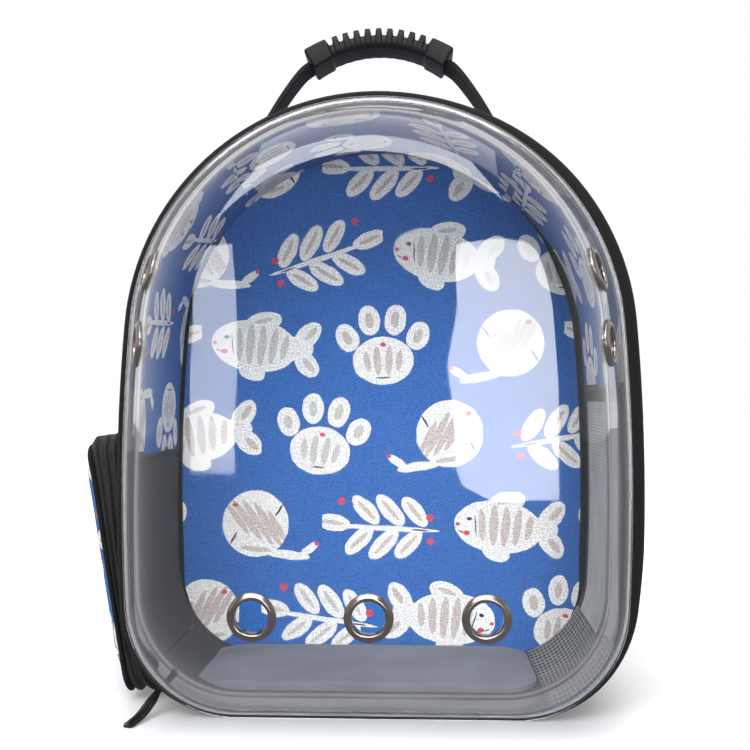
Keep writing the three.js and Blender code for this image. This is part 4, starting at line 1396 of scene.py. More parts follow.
@dataclass
class ClearShell:
    """The thermoformed front and the metal eyelets in its vent holes."""

    palette: Palette
    profile: ShellProfile = ShellProfile()
    hole_radius: float = 0.0115
    front_spacing: float = 0.0695
    front_height: float = 0.086
    side_heights: Pair = (0.250, 0.296)
    side_depth: float = 0.052

    def build(self) -> None:
        """Makes the shell, cuts its holes and sets an eyelet in each."""
        shell = self.sheet()
        tree = BVHTree.FromObject(shell, bpy.context.evaluated_depsgraph_get())
        places = self.vents(tree)
        cutter, radius = bmesh.new(), self.hole_radius
        for point, normal in places.values():
            turn = normal.to_track_quat("Z", "Y").to_matrix().to_4x4()
            place = Matrix.Translation(point) @ turn
            bmesh.ops.create_cone(
                cutter, cap_ends=True, segments=64, radius1=radius, radius2=radius, depth=0.016, matrix=place
            )
        cut_away(shell, cutter)
        for name, (point, normal) in places.items():
            self.eyelet(name, point, normal)

    def sheet(self) -> bpy.types.Object:
        """Makes the closed sheet, out over its face and back under it.

        Returns:
            The shell without its holes.
        """
        rings = [*reversed(self.profile.side(0)), *self.profile.side(self.profile.wall)]
        return add_piece(
            "clear_front", loft(rings), self.palette["clear_sheet"], ["clear_shell"], 35
        )

    def vents(self, tree: BVHTree) -> dict[str, tuple[Vector, Vector]]:
        """Finds where each vent's axis meets the shell.

        Args:
            tree: the shell's surface.

        Returns:
            For each eyelet's name, the point and the outward normal.
        """
        far, found = 2.0, {}
        for word, k in (("left", -1), ("middle", 0), ("right", 1)):
            hit = tree.ray_cast(Vector((k * self.front_spacing, -far, self.front_height)), Vector((0, 1, 0)))
            found[f"front_{word}"] = (hit[0], hit[1])
        for side, sign in SIDES.items():
            for word, z in zip(("lower", "upper"), self.side_heights):
                hit = tree.ray_cast(Vector((sign * far, FRONT_Y - self.side_depth, z)), Vector((-sign, 0, 0)))
                found[f"{side}_{word}"] = (hit[0], hit[1])
        return found

    def eyelet(self, name: str, point: Vector, normal: Vector) -> None:
        """Makes one rolled eyelet from its turned profile.

        Args:
            name: which vent it is in.
            point: the middle of the vent on the outside of the shell.
            normal: the way the shell faces there.
        """
        bore, roll = 0.0100, 0.0017
        profile = [(bore + 0.0003, -0.0041), (bore, -0.0036), (bore, 0.0008)]
        for k in range(7):
            angle = math.radians(180 - 20 * k)
            profile.append((bore + roll + roll * math.cos(angle), 0.0010 + roll * math.sin(angle)))
        profile += [(0.0133, 0.0019), (0.0142, 0.0014), (0.0148, 0.0008), (0.0148, 0.0003), (0.0140, 0.0001)]
        profile += [(0.0112, 0.0001), (0.0112, -0.0033), (0.0122, -0.0031), (0.0130, -0.0035)]
        profile += [(0.0128, -0.0042), (0.0115, -0.0044)]
        bm = bmesh.new()
        verts = [bm.verts.new((r, 0, h)) for r, h in profile]
        edges = [bm.edges.new((a, b)) for a, b in zip(verts, [*verts[1:], verts[0]])]
        bmesh.ops.spin(
            bm,
            geom=[*verts, *edges],
            cent=(0, 0, 0),
            axis=(0, 0, 1),
            dvec=(0, 0, 0),
            angle=math.tau,
            steps=64,
            use_merge=True,
            use_duplicate=False,
        )
        bmesh.ops.remove_doubles(bm, verts=bm.verts, dist=1e-6)
        bmesh.ops.recalc_face_normals(bm, faces=bm.faces)
        turn = normal.to_track_quat("Z", "Y").to_matrix().to_4x4()
        bmesh.ops.transform(bm, matrix=Matrix.Translation(point) @ turn, verts=bm.verts)
        add_piece(
            f"eyelet_ring_{name}", bm, self.palette["dark_nickel"], [f"eyelet_{name}"], 50
        )


# Trim round the zip plane and the back edge


@dataclass
class Trim:
    """Bindings, zip and piping round the bag, with the slider and its pull tab."""

    palette: Palette
    band_width: float = 0.009
    proud: float = 0.005
    back_proud: float = 0.003
    trim_floor: float = 0.0002
    chain_y: Pair = (-0.0704, -0.0639)
    chain_proud: float = 0.0026
    right_bulge: float = 0.0042

    def bulge(self, p: Vector) -> float:
        """How much further the soft band stands out on the right, at a point."""
        side = smooth_lift((p.x - 0.02) / 0.12) * smooth_lift((p.z - 0.03) / 0.09)
        return self.right_bulge * side

    def band(self, front: float, back: float, proud: float, flatness: float, steps: int = 12) -> list[Ring]:
        """Rings of a band with a rounded crown.

        Args:
            front: the depth of its front edge.
            back: the depth of its back edge.
            proud: how far it stands out of the rim.
            flatness: below 1 for a flat crown, 1 for a round one.
            steps: steps over its crown.

        Returns:
            The rings that go round its cross-section.
        """
        seat = (GUSSET_INSET - GAP, GUSSET_FLOOR - GAP)
        rows = []
        for k in range(steps + 1):
            t = k / steps
            lift = math.sin(math.pi * (0.06 + 0.88 * t)) ** flatness
            inset, floor = seat[0] - (seat[0] + proud) * lift, seat[1] + (self.trim_floor - seat[1]) * lift
            rows.append((back + (front - back) * t, inset, floor, lift))
        rows += [(front, *seat, 0.0), (back, *seat, 0.0)]
        rings = []
        for y, inset, floor, lift in rows:
            ring = ring_of(FULL, y, inset, floor)
            rings.append([p + Vector((self.bulge(p) * lift, 0, self.bulge(p) * lift * 0.25)) for p in ring])
        return rings

    def path(self, y: float, proud: float) -> Ring:
        """Line round the bag just above a band, for its stitches."""
        ring = ring_of(FULL, y, -proud, self.trim_floor)
        return [Vector((p.x + self.bulge(p), p.y, max(p.z + self.bulge(p) * 0.25, 0.0007))) for p in ring]

    def build(self) -> None:
        """Makes all the trim."""
        front = (FRONT_Y + GAP, FRONT_Y + self.band_width)
        piping = (self.chain_y[1] + GAP, self.chain_y[1] + self.band_width + GAP)
        back = (BACK_Y - self.band_width, BACK_Y)

        def bind(name: str, node: str, slot: str, *sizes: float) -> None:
            """Makes one band, with the sizes that band() takes."""
            bm = loft(self.band(*sizes), True, Cap.HOOP)
            add_piece(name, bm, self.palette["binding_tape"], [node])

        bind("front_binding_tape", "front_binding", "black_binding", *front, self.proud, 0.45)
        bind("rear_piping_cord", "rear_piping", "black_binding", *piping, self.proud, 0.7)
        bind("zip_tape", "zipper_chain", "zip_plastic", *self.chain_y, 0.0010, 0.3, 8)
        self.edges()
        self.teeth()
        bind("back_binding_tape", "back_binding", "black_binding", *back, self.back_proud, 0.45)
        paths = (
            self.path(front[1] - 0.0022, self.proud - 0.0004),
            self.path(piping[1] - 0.002, self.proud - 0.0008),
            self.path(back[0] + 0.002, self.back_proud - 0.0004),
        )
        sew("trim_stitches", [[*p, p[0]] for p in paths], self.palette["thread"])
        self.slider()
        self.pull_tab()

    def edges(self) -> None:
        """Lining tape under the shell's flange and black tape over the back's edge."""
        lip = [(-0.0797, 0.0008), (-0.0797, 0.0031), (-0.0778, 0.0031), (-0.0778, 0.0008)]
        rings = [ring_of(FULL, y, inset, inset + 0.002) for y, inset in lip]
        add_piece(
            "front_edge_lining", loft(rings, True, Cap.HOOP), self.palette["edge_lining"]
        )
        tape = [(0.0802, -0.0024), (0.0810, -0.0020), (0.0814, 0.0006)]
        tape += [(0.0814, 0.0056), (0.0809, 0.0080), (0.0802, 0.0083)]
        rings = [ring_of(FULL, y, inset, max(self.trim_floor, inset + 0.002)) for y, inset in tape]
        add_piece(
            "back_edge_tape", loft(rings, True, Cap.HOOP), self.palette["binding_tape"]
        )

    def teeth(self) -> None:
        """Sets the coil's teeth along the zip, by turns to the front and the back."""
        bm = bmesh.new()
        sunk, aside, pitch, half = 0.0011, 0.0006, 0.0017, (0.00062, 0.0010, 0.0017)
        path = self.path(sum(self.chain_y) / 2, self.chain_proud - sunk)
        loop = [*path, path[0]]
        for j, (place, run) in enumerate(walk(loop, round(run_lengths(loop)[-1] / pitch), 0)):
            add_bead(bm, place + Vector((0, aside if j % 2 else -aside, 0)), run, "Y", half)
        add_piece("zip_teeth", bm, self.palette["zip_plastic"])

    def slider_frame(self) -> Matrix:
        """Where the slider sits: its Z points out of the zip and its X along it.

        Returns:
            The slider's place and turn.
        """
        low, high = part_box("zipper_slider")
        angle = math.radians(229)
        out = Vector((math.cos(angle), 0, math.sin(angle)))
        across = Vector((0, 1, 0))
        along = across.cross(out)
        turn = Matrix((along, across, out)).transposed().to_4x4()
        return Matrix.Translation((low + high) / 2) @ turn

    def slider(self) -> None:
        """Makes the slider: two plates, a post between them and a bridge for the tab."""
        bm = bmesh.new()
        for middle, size, bevel in (
            ((0, 0, -0.0014), (0.0125, 0.0063, 0.0010), 0.0004),
            ((0, 0, 0.0009), (0.0125, 0.0063, 0.0011), 0.0004),
            ((0.0035, 0, -0.0002), (0.0035, 0.0022, 0.0024), 0.0002),
        ):
            part = bmesh.new()
            matrix = Matrix.Translation(middle) @ Matrix.Diagonal((*size, 1))
            bmesh.ops.create_cube(part, size=1, matrix=matrix)
            edges = part.edges[:]
            bmesh.ops.bevel(
                part, geom=edges, offset=bevel, affect="EDGES", segments=3, profile=0.5, material=-1
            )
            merge(bm, part)
        bridge = ((-0.0045, 0.0012), (-0.003, 0.0022), (0.003, 0.0022), (0.0045, 0.0012))
        points = [Vector((x, 0, z)) for x, z in bridge]
        add_tape(bm, points, 16, Vector((0, 1, 0)), (0.0011, 0.00045, 0.0003))
        bmesh.ops.transform(bm, matrix=self.slider_frame(), verts=bm.verts)
        add_piece("zip_slider_body", bm, self.palette["enamel"], ["zipper_slider"], 30)

    def pull_tab(self) -> None:
        """Makes the flat pull tab that hangs from the slider to the floor in front."""
        start = self.slider_frame() @ Vector((0, -0.0016, 0.0034))
        lowest, half_width, half_thick = 0.0011, 0.004, 0.0008
        tip = Vector((start.x - 0.012, start.y - 0.036, lowest))
        knee = start.lerp(tip, 0.55)
        knee.z = max(lowest, start.z * 0.3)
        frames = curve_frames([start, knee, tip], 36, (tip - start).cross(UP).normalized())

        def section(t: float) -> Section:
            """Narrow at the slider and rounded at the tip."""
            width = (0.62 + 0.38 * smooth_lift(4 * t)) * (1 - 0.3 * smooth_lift((t - 0.93) / 0.07))
            return half_width * width, half_thick, 0.0004

        add_piece(
            "zip_pull", ribbon(frames, section), self.palette["enamel"], ["zipper_pull_tab"]
        )
        lines = [[], []]
        for f in frames[8:-3]:
            top = f.out * math.copysign(half_thick + 0.00005, f.out.z)
            for line, sign in zip(lines, (-1, 1)):
                line.append(f.point + f.across * sign * 0.0026 + top)
        sew("zip_pull_stitches", lines, self.palette["thread"], 0.0024, 0.0003)


# Cloth body


@dataclass
class Body:
    """Printed arch, linings, window, floor, mat and back panel."""

    palette: Palette
    hem_left: float = 0.176
    hem_right: float = 0.224
    floor_seam: float = 0.030
    window: tuple[float, float, float, float] = (-0.0426, 0.049, 0.052, 0.208)
    window_corner: float = 0.016
    mat_top: float = 0.016
    net_strip: float = 0.018

    def section(self) -> list[tuple]:
        """Cross-section of the body's wall.

        Returns:
            Rows of depth, inset and floor.
        """
        return hoop_section(
            FRONT_Y + 0.0024, BACK_Y, (GUSSET_INSET, GUSSET_FLOOR), (INNER_INSET, INNER_FLOOR)
        )

    def build(self) -> None:
        """Makes the cloth body from the outside in."""
        self.arch()
        self.linings()
        self.base()
        self.window_trim()
        self.net()
        self.mat()
        self.back_panel()
        self.inner_binding()

    def arch(self) -> None:
        """Printed arch from hem to hem, a little uneven as sewn cloth is."""
        hems = (ARCH.station_at(self.hem_right + GAP, True), ARCH.station_at(self.hem_left + GAP, False))
        stations = stations_between(*hems)
        bm = wall(stations, self.section())
        for v in bm.verts:
            inside = smooth_lift(min(v.co.y - FRONT_Y, BACK_Y - v.co.y) / 0.03)
            sag = noise.noise(v.co * 21.0) * 0.0011 * inside
            inward = Vector((v.co.x, 0, v.co.z - ARCH.widest)).normalized()
            v.co -= inward * (abs(sag) + 0.0009 * inside)
        arch = add_piece(
            "printed_arch", bm, self.palette["printed_arch"], ["gusset_arch"], 60
        )
        length = run_lengths(ring_of(stations, 0, 0, 0))[-1]
        seams = bmesh.new()
        reach = ARCH.top_radius - INNER_INSET - 0.0016
        for angle in (math.radians(51), math.radians(129)):
            out = Vector((math.cos(angle), 0, math.sin(angle)))
            points = [Vector((0, FRONT_Y + 0.004 + 0.03 * k, ARCH.top_z)) + out * reach for k in range(6)]
            add_tape(seams, points, 30, out.cross(Vector((0, 1, 0))), (0.0032, 0.0004, 0.0003))
        add_piece("arch_seam_tapes", seams, self.palette["printed_arch"])

    def linings(self) -> None:
        """Plain lining of the lower sides and the floor."""
        at = ARCH.station_at
        above, below = self.floor_seam + GAP, self.floor_seam - GAP
        right = (at(above, True), at(self.hem_right - GAP, True))
        left = (at(self.hem_left - GAP, False), at(above, False))
        floor = (at(below, False), at(below, True))
        y0, y1, z0, z1 = self.window
        for name, node, ends, window in (
            ("lining_right", "side_wall_right", right, (y1 - y0) * (z1 - z0)),
            ("lining_left", "side_wall_left", left, 0),
            ("lining_floor", "body_floor", floor, 0),
        ):
            stations = stations_between(*ends)
            bm = wall(stations, self.section())
            side = add_piece(name, bm, self.palette["grey_lining"], [node], 60)
            if window:
                cut_away(side, self.window_prism())
            length = run_lengths(ring_of(stations, 0, GUSSET_INSET, GUSSET_FLOOR))[-1]
        hems = bmesh.new()
        for z, sign in ((self.hem_right, 1), (self.hem_left, -1)):
            x = sign * (ARCH.half_width(z, INNER_INSET, INNER_FLOOR) - 0.0006)
            points = [Vector((x, FRONT_Y + 0.003 + 0.154 * k / 6, z)) for k in range(7)]
            add_tape(hems, points, 24, UP, (0.003, 0.0005, 0.0004))
        add_piece("hem_tapes", hems, self.palette["grey_lining"])

    def window_outline(self, grow: float) -> list[Vector]:
        """The window's outline as places (y, z), grown outwards.

        Args:
            grow: how far it is grown.

        Returns:
            The points in order.
        """
        y0, y1, z0, z1 = self.window
        flat = rounded((y1 - y0) / 2 + grow, (z1 - z0) / 2 + grow, self.window_corner + grow, 8)
        return [Vector(((y0 + y1) / 2, (z0 + z1) / 2)) + p for p in flat]

    def window_prism(self) -> bmesh.types.BMesh:
        """Rounded prism that cuts the window out of the right side."""
        near, far = 0.1, 0.25
        return loft([[Vector((x, *p)) for p in self.window_outline(0)] for x in (near, far)], True, Cap.FLAT)

    def window_trim(self) -> None:
        """Bound edge round the window, on the outside of the right wall."""
        width = 0.008

        def loop(share: float, lift: float) -> Ring:
            """Ring round the window, lifted off the wall."""
            flat = densify(self.window_outline(width * share), 0.006)
            return [Vector((ARCH.half_width(p.y, GUSSET_INSET, GUSSET_FLOOR) + lift, *p)) for p in flat]

        bm = bound_edge(loop, 0, 0.0018, 0.08)
        add_piece("window_binding", bm, self.palette["binding_tape"], ["window_frame"])

    def net(self) -> None:
        """Net in the window, and the same net over the lining from the mat's end up to it."""
        for name, ys, zs, inset, cell, nodes in (
            ("window_net", (-0.0486, 0.055), (0.046, 0.214), 0.0034, (0.0025, 0.0025), ["window_mesh"]),
            ("corner_net", (-0.074, 0.072), (0.0042, 0.0455), 0.0036, (0.0033, 0.0095), []),
        ):
            ends = (ARCH.station_at(z, True) for z in zs)
            path = ring_of(stations_between(*ends), 0, inset, INNER_FLOOR + inset - INNER_INSET)
            length, depth = run_lengths(path)[-1], ys[1] - ys[0]
            line = [place for place, _ in walk(path, round(length / cell[0]), 0)] + [path[-1]]
            columns = round(depth / cell[1])
            places = [ys[0] + depth * c / columns for c in range(columns + 1)]
            rings = [[Vector((p.x, y, p.z)) for p in line] for y in places]
            net = add_piece(name, loft(rings, False), self.palette["net_yarn"], nodes)
            wire = net.modifiers.new("yarn", "WIREFRAME")
            wire.thickness, wire.use_even_offset = 0.0009, False
            bake_modifiers(net)
            net.data.shade_smooth()

    def base(self) -> None:
        """Stiff panel under the floor that the bag stands on."""
        reach = ARCH.corner(GUSSET_INSET, GUSSET_FLOOR, None)[0] + 0.020
        front, back, depth, highest, top = -0.0543, 0.0707, 0.0027, 0.07, Arc.TOP.value + 0.5
        rim = [(s, ARCH.point(s, 0, 0)) for s in FULL]
        inside = [s for s, p in rim if abs(p.x) < reach and p.y < highest]
        around = [s for s in inside if passed(s) > top] + [s for s in inside if passed(s) < top]
        inset = GUSSET_INSET - GAP
        bm = wall(around, hoop_section(front, back, (inset - depth, 0.0), (inset, depth)))
        add_piece("base_board", bm, self.palette["pack_cloth"], ["base_panel"], 60)

    def mat(self) -> None:
        """Felted mat with a soft rounded edge that lies on the floor inside."""
        front, back, corner = FRONT_Y + 0.020, BACK_Y - 0.005, 0.026
        hx = ARCH.half_width(self.mat_top, INNER_INSET, INNER_FLOOR) - 0.001
        hy = (back - front) / 2
        bend = ARCH.corner_radius - INNER_FLOOR
        bm = bmesh.new()
        bmesh.ops.create_grid(bm, x_segments=72, y_segments=44, size=1)
        for v in bm.verts:
            x, y = v.co.x * hx, v.co.y * hy
            over_x, over_y = abs(x) - (hx - corner), abs(y) - (hy - corner)
            if over_x > 0 and over_y > 0:
                ring = max(over_x, over_y) / math.hypot(over_x, over_y)
                x = math.copysign(hx - corner + over_x * ring, x)
                y = math.copysign(hy - corner + over_y * ring, y)
            x -= max(x, 0) / hx * self.net_strip
            fall = smooth_lift((max(abs(v.co.x), abs(v.co.y)) - 0.9) / 0.1) * 0.0022
            ripple = noise.noise(Vector((x * 30, y * 30, 0))) * 0.0006
            v.co = Vector((x, y + (front + back) / 2, self.mat_top - 0.0004 - fall + ripple))
        made = bmesh.ops.extrude_face_region(bm, geom=bm.faces[:])["geom"]
        for v in (g for g in made if isinstance(g, bmesh.types.BMVert)):
            over = max(0.0, abs(v.co.x) - ARCH.corner(0, 0, None)[0])
            rise = bend - math.sqrt(max(bend**2 - over**2, 0))
            v.co.z = min(v.co.z - 0.0012, INNER_FLOOR + 0.0004 + rise)
        bmesh.ops.recalc_face_normals(bm, faces=bm.faces)
        flat_uv(bm, 0, 1)
        mat = add_piece("felt_mat", bm, self.palette["felted_mat"], ["floor_mat"], 50)

    def back_panel(self) -> None:
        """Printed back panel inside the cabin, slightly bellied between its seams."""
        front, back, belly = 0.0782, 0.0798, 0.0016
        edge = ring_of(FULL, front, INNER_INSET + GAP, INNER_FLOOR + GAP)
        middle = Vector((0, front, 0.21))
        rings = []
        for share in (1, 0.97, 0.92, 0.84, 0.74, 0.62, 0.5, 0.38, 0.26, 0.14, 0.04):
            ring = [middle.lerp(p, share) for p in edge]
            for q in ring:
                q.y += noise.noise(Vector((q.x * 11, 3.0, q.z * 9))) * belly * (1 - share**6)
            rings.append(ring)
        behind = [[Vector((p.x, back, p.z)) for p in ring] for ring in (rings[-1], rings[0])]
        bm = loft([*behind, *rings], True, Cap.FLAT)
        flat_uv(bm, 0, 2)
        panel = add_piece(
            "printed_back", bm, self.palette["printed_panel"], ["back_panel"], 60
        )

    def inner_binding(self) -> None:
        """Black tape over the seam between the back panel and the sides."""
        bm = bmesh.new()
        at, steps, seat, lift = ARCH.station_at, 8, 0.0778, 0.0004
        for start, end, width, depth in (
            (at(0.036, True), (Arc.TOP, 0.24), 0.0058, 0.005),
            ((Arc.TOP, 0.86), at(0.036, False), 0.0035, 0.004),
        ):
            stations = stations_between(start, end)
            angles = [math.pi / 2 * k / steps for k in range(steps + 1)]
            rows = [(depth * math.sin(a) ** 0.7, width * math.cos(a) ** 0.7) for a in angles] + [(0, 0)]
            rings = []
            for out, across in rows:
                ring = []
                for k, s in enumerate(stations):
                    taper = smooth_lift(min(k, len(stations) - 1 - k) / 8) * 0.85 + 0.15
                    inset = INNER_INSET + lift + across * taper
                    p = ARCH.point(s, inset, INNER_FLOOR + (lift + across) * taper)
                    ring.append(Vector((p.x, seat - out * taper, p.y)))
                rings.append(ring)
            merge(bm, loft(rings, False, Cap.HOOP))
        add_piece("inner_seam_binding", bm, self.palette["binding_tape"], sharp=60)


# Bellows pocket


@dataclass
class Pocket:
    """Pleated pocket on the left side with a printed face and a bound rim."""

    palette: Palette
    front: float = -0.0486
    back: float = 0.045
    low: float = 0.006
    high: float = 0.194
    foot: float = 0.180
    top: float = 0.211
    corner: float = 0.018
    pleats: int = 5
    pleat_height: float = 0.00312
    mouth: tuple[float, float, float, float, float] = (-0.199, -0.189, -0.0266, 0.023, 0.17)

    def place(self, y: float, z: float, share: float) -> Vector:
        """Point of the pocket from share 0 at the body to share 1 at its face.

        Args:
            y: the depth.
            z: the height.
            share: the share of the projection.

        Returns:
            The point.
        """
        body = ARCH.half_width(z, GUSSET_INSET - GAP, GUSSET_FLOOR)
        t = (z - self.low) / (self.high - self.low)
        face = self.foot + (self.top - self.foot) * t - 0.005 * (self.back - y) / (self.back - self.front)
        droop = 0.006 * share * smooth_lift((t - 0.8) / 0.2)
        return Vector((-(body + (face - body) * share), y, z - droop))

    def ring(self, share: float) -> Ring:
        """Loop round the pocket at a share of its projection.

        Args:
            share: the share of the projection.

        Returns:
            The loop.
        """
        half_z, half_y = (self.high - self.low) / 2, (self.back - self.front) / 2
        flat = densify(rounded(half_z, half_y, self.corner - 0.002, 8), 0.007)
        y, z = (self.back + self.front) / 2, (self.high + self.low) / 2
        return [self.place(y + p.y, z + p.x, share) for p in flat]

    def build(self) -> None:
        """Makes the pleated side, the face and its rim."""
        steps, base, rings = self.pleats * 10, self.ring(0), []
        for k in range(steps + 1):
            wave = 0.5 + 0.5 * math.cos(math.tau * self.pleats * k / steps)
            rings.append(self.scaled(self.pleat_height * wave, k / steps, base))
        bm = loft(rings)
        x0, x1, y0, y1, lowest = self.mouth
        middles = [(face, face.calc_center_median()) for face in bm.faces]
        slit = [face for face, c in middles if x0 < c.x < x1 and y0 < c.y < y1 and c.z > lowest]
        bmesh.ops.delete(bm, geom=slit, context="FACES")
        gusset = add_piece(
            "pocket_bellows", bm, self.palette["pack_cloth"], ["pocket_gusset"], 60
        )
        thick = gusset.modifiers.new("cloth", "SOLIDIFY")
        thick.thickness, thick.offset = 0.0012, -1
        bake_modifiers(gusset)
        depths = [run_lengths([ring[j] for ring in rings])[-1] for j in range(len(base))]
        flat = (sum(depths) / len(depths), run_lengths([*base, base[0]])[-1])
        self.face()
        self.rim()

    def scaled(self, shrink: float, share: float, base: Ring) -> Ring:
        """Loop at a share of the projection, shrunk towards the pocket's middle.

        Args:
            shrink: how much narrower it is at each side.
            share: the share of the projection.
            base: the loop that it is made from.

        Returns:
            The loop, with as many points as the base.
        """
        half_z, half_y = (self.high - self.low) / 2, (self.back - self.front) / 2
        middle = Vector((0, (self.back + self.front) / 2, (self.high + self.low) / 2))
        points = []
        for p in base:
            y = middle.y + (p.y - middle.y) * (1 - shrink / half_y)
            z = middle.z + (p.z - middle.z) * (1 - shrink / half_z)
            wobble = noise.noise(Vector((share * 5, y * 18, z * 18))) * 0.0006
            points.append(self.place(y, z, share) + Vector((0, wobble, 0)))
        return points

    def face_ring(self, shrink: float, out: float) -> Ring:
        """Loop on the pocket's face, shrunk and moved outwards."""
        return [p - Vector((out, 0, 0)) for p in self.scaled(shrink, 1.0, self.ring(1))]

    def face(self) -> None:
        """Printed face, filled out a little by the stiff board behind it."""
        rows = [(0.008, 0.0004), (0.0048, 0.0004), (0.0047, 0.0018)]
        rows += [(0.0052 + 0.005 * k, 0.003 + 0.01 * math.sin(math.pi / 2 * min(1, k / 6))) for k in range(8)]
        bm = loft([self.face_ring(*row) for row in rows], True, Cap.FLAT)
        flat_uv(bm, 1, 2)
        face = add_piece(
            "pocket_print", bm, self.palette["printed_panel"], ["pocket_face"], 60
        )

    def rim(self) -> None:
        """Bound rim round the face, with its stitches."""
        width = 0.0052
        bm = bound_edge(lambda share, lift: self.face_ring(width * share - GAP, lift), 0.0006, 0.0028, 0.05)
        add_piece("pocket_rim_tape", bm, self.palette["binding_tape"], ["pocket_rim"])
        line = self.face_ring(width * 0.7, 0.0033)
        sew("pocket_stitches", [[*line, line[0]]], self.palette["thread"])


# Carrying handle


@dataclass
class Handle:
    """Moulded ribbed grip on two webbing ends that are sewn to the arch."""

    palette: Palette
    half_length: float = 0.0515
    arch: float = 0.0145
    rise: float = 0.061
    width: float = 0.030
    thickness: float = 0.013
    ribs: int = 9
    pitch: float = 0.0078
    rib_height: float = 0.005
    rest: float = -0.002
    block_length: float = 0.017
    block_thickness: float = 0.019
    block_width: float = 0.034

    @property
    def radius(self) -> float:
        """Radius of the grip's arched centre line."""
        return (self.half_length**2 + self.arch**2) / (2 * self.arch)

    @property
    def reach(self) -> float:
        """Half the length of the grip's centre line."""
        return self.radius * math.asin(self.half_length / self.radius)

    def frame_at(self, distance: float) -> tuple[Vector, Vector]:
        """Centre and upward direction of the grip at a signed distance along it.

        Args:
            distance: the distance from the grip's middle.

        Returns:
            The centre and the direction.
        """
        angle = distance / self.radius
        up = Vector((math.sin(angle), 0, math.cos(angle)))
        top = ARCH.top_z + ARCH.top_radius + self.rise
        return Vector((0, 0, top - self.radius)) + up * self.radius, up

    def section(self, s: float, half_width: float, low: float, high: float, corner: float) -> Ring:
        """Ring of the grip at a distance along it.

        Args:
            s: the distance from the grip's middle.
            half_width: half its width.
            low: how far up its underside is.
            high: how far up its back is.
            corner: its corner radius.

        Returns:
            The ring.
        """
        centre, up = self.frame_at(s)
        flat = rounded((high - low) / 2, half_width, corner, 6)
        return [centre + up * ((high + low) / 2 + p.x) + Vector((0, -p.y, 0)) for p in flat]

    def build(self) -> None:
        """Makes the grip and both webbing ends."""
        self.grip()
        for word, side in SIDES.items():
            self.webbing(word, side)

    def grip(self) -> None:
        """Grip: blocks at its ends and ribs that stand on its back."""
        half, block, steps, soft = self.thickness / 2, self.block_thickness / 2, 260, 0.0012
        inner, last = self.reach - self.block_length, self.reach - soft
        fine = [-last + 2 * last * k / steps for k in range(steps + 1)]
        rings = []
        for s in (-self.reach, -self.reach + soft / 3, *fine, self.reach - soft / 3, self.reach):
            shrink = max(0, (abs(s) - last) / soft) ** 2 * 0.0011
            into = smooth_lift((abs(s) - inner + soft) / (2 * soft))
            nearest = round(s / self.pitch)
            rib = 0.0
            if abs(nearest) <= (self.ribs - 1) / 2:
                rib = 1 - smooth_lift((abs(s - nearest * self.pitch) - 0.0017) / 0.0009)
            thicken = 0.0022 * (s / self.reach) ** 2
            high = half + self.rest + self.rib_height * rib - thicken * (1 - into) * 0.5
            high += (block - 0.0010 - high) * into
            low = -half + 0.0012 - thicken - 0.0006 * into
            width = self.width / 2 + 0.0006 * rib
            width += (self.block_width / 2 - width) * into
            corner = 0.0042 + (0.0022 - 0.0042) * into
            rings.append(self.section(s, width - shrink, low + shrink, high - shrink, corner))
        bm = loft(rings, True, Cap.FLAT)
        add_piece("moulded_grip", bm, self.palette["moulded_grip"], ["handle_grip"], 42)

    def twisted(self, f: Frame, side: int, t: float) -> Frame:
        """Turns a frame of the webbing about its run, more towards the grip.

        Args:
            f: the frame.
            side: -1 or 1.
            t: share of the way from the tail to the grip.

        Returns:
            The turned frame.
        """
        most = 6 if side < 0 else 10
        angle = math.radians(most) * smooth_lift((t - 0.5) / 0.45)
        turn = Matrix.Rotation(side * angle, 3, f.along)
        return Frame(f.point, f.along, turn @ f.across, turn @ f.out)

    def webbing(self, word: str, side: int) -> None:
        """One end of the webbing, from inside the grip to its tail on the arch.

        Args:
            word: left or right.
            side: -1 or 1.
        """
        thick, steps = 0.0024, 90

        def on_arch(deg: float, lift: float = 0.0) -> Vector:
            """Point over the arch at an angle."""
            angle, reach = math.radians(deg), ARCH.top_radius - GUSSET_INSET + GAP + thick / 2 + lift
            return Vector((side * reach * math.cos(angle), 0, ARCH.top_z + reach * math.sin(angle)))

        def section(t: float) -> Section:
            """Flat where it is sewn on, and thicker and narrower towards the grip."""
            narrow, swell = smooth_lift((t - 0.55) / 0.25), smooth_lift((t - 0.3) / 0.2)
            return 0.0108 - 0.0008 * narrow, thick / 2 * (1 + 0.7 * swell), 0.0008

        centre, up = self.frame_at(side * (self.reach + GAP))
        out = Vector((up.z * side, 0, -up.x * side))
        anchor, near = on_arch(55, 0.001), centre + out * 0.009 - up * 0.003
        low = anchor.lerp(near, 0.5) + Vector((side * 0.0035, 0, 0.001))
        points = [*(on_arch(55 - 14 * k / 3) for k in (3, 2, 1)), anchor, low, near, centre - up * 0.002]
        run = curve_frames(points, steps, Vector((0, 1, 0)))
        frames = [self.twisted(f, side, k / steps) for k, f in enumerate(run)]
        strap = ribbon(frames, section)
        node = f"handle_webbing_{word}"
        add_piece(f"handle_strap_{word}", strap, self.palette["webbing"], [node])
        sewn = frames[2:26]
        last, edge, top = len(sewn) - 1, 0.0100, thick / 2 + 0.0001

        def at(k: int, across: float) -> Vector:
            """Point on the outside of the sewn end.

            Args:
                k: the number of the frame.
                across: the distance from the webbing's middle.

            Returns:
                The point.
            """
            f = sewn[k]
            outward = f.out.dot(f.point - Vector((0, 0, ARCH.top_z)))
            return f.point + f.across * across + f.out * math.copysign(top, outward)

        lines = []
        for sign in (1, -1):
            lines.append([at(k, sign * edge) for k in range(last + 1)])
            lines.append([at(k, sign * edge * (2 * k / last - 1)) for k in range(last + 1)])
        lines += [[at(k, edge * j / 4) for j in range(-4, 5)] for k in (0, last)]
        sew(f"handle_stitches_{word}", lines, self.palette["thread"], 0.0028)


# Padded back and shoulder straps


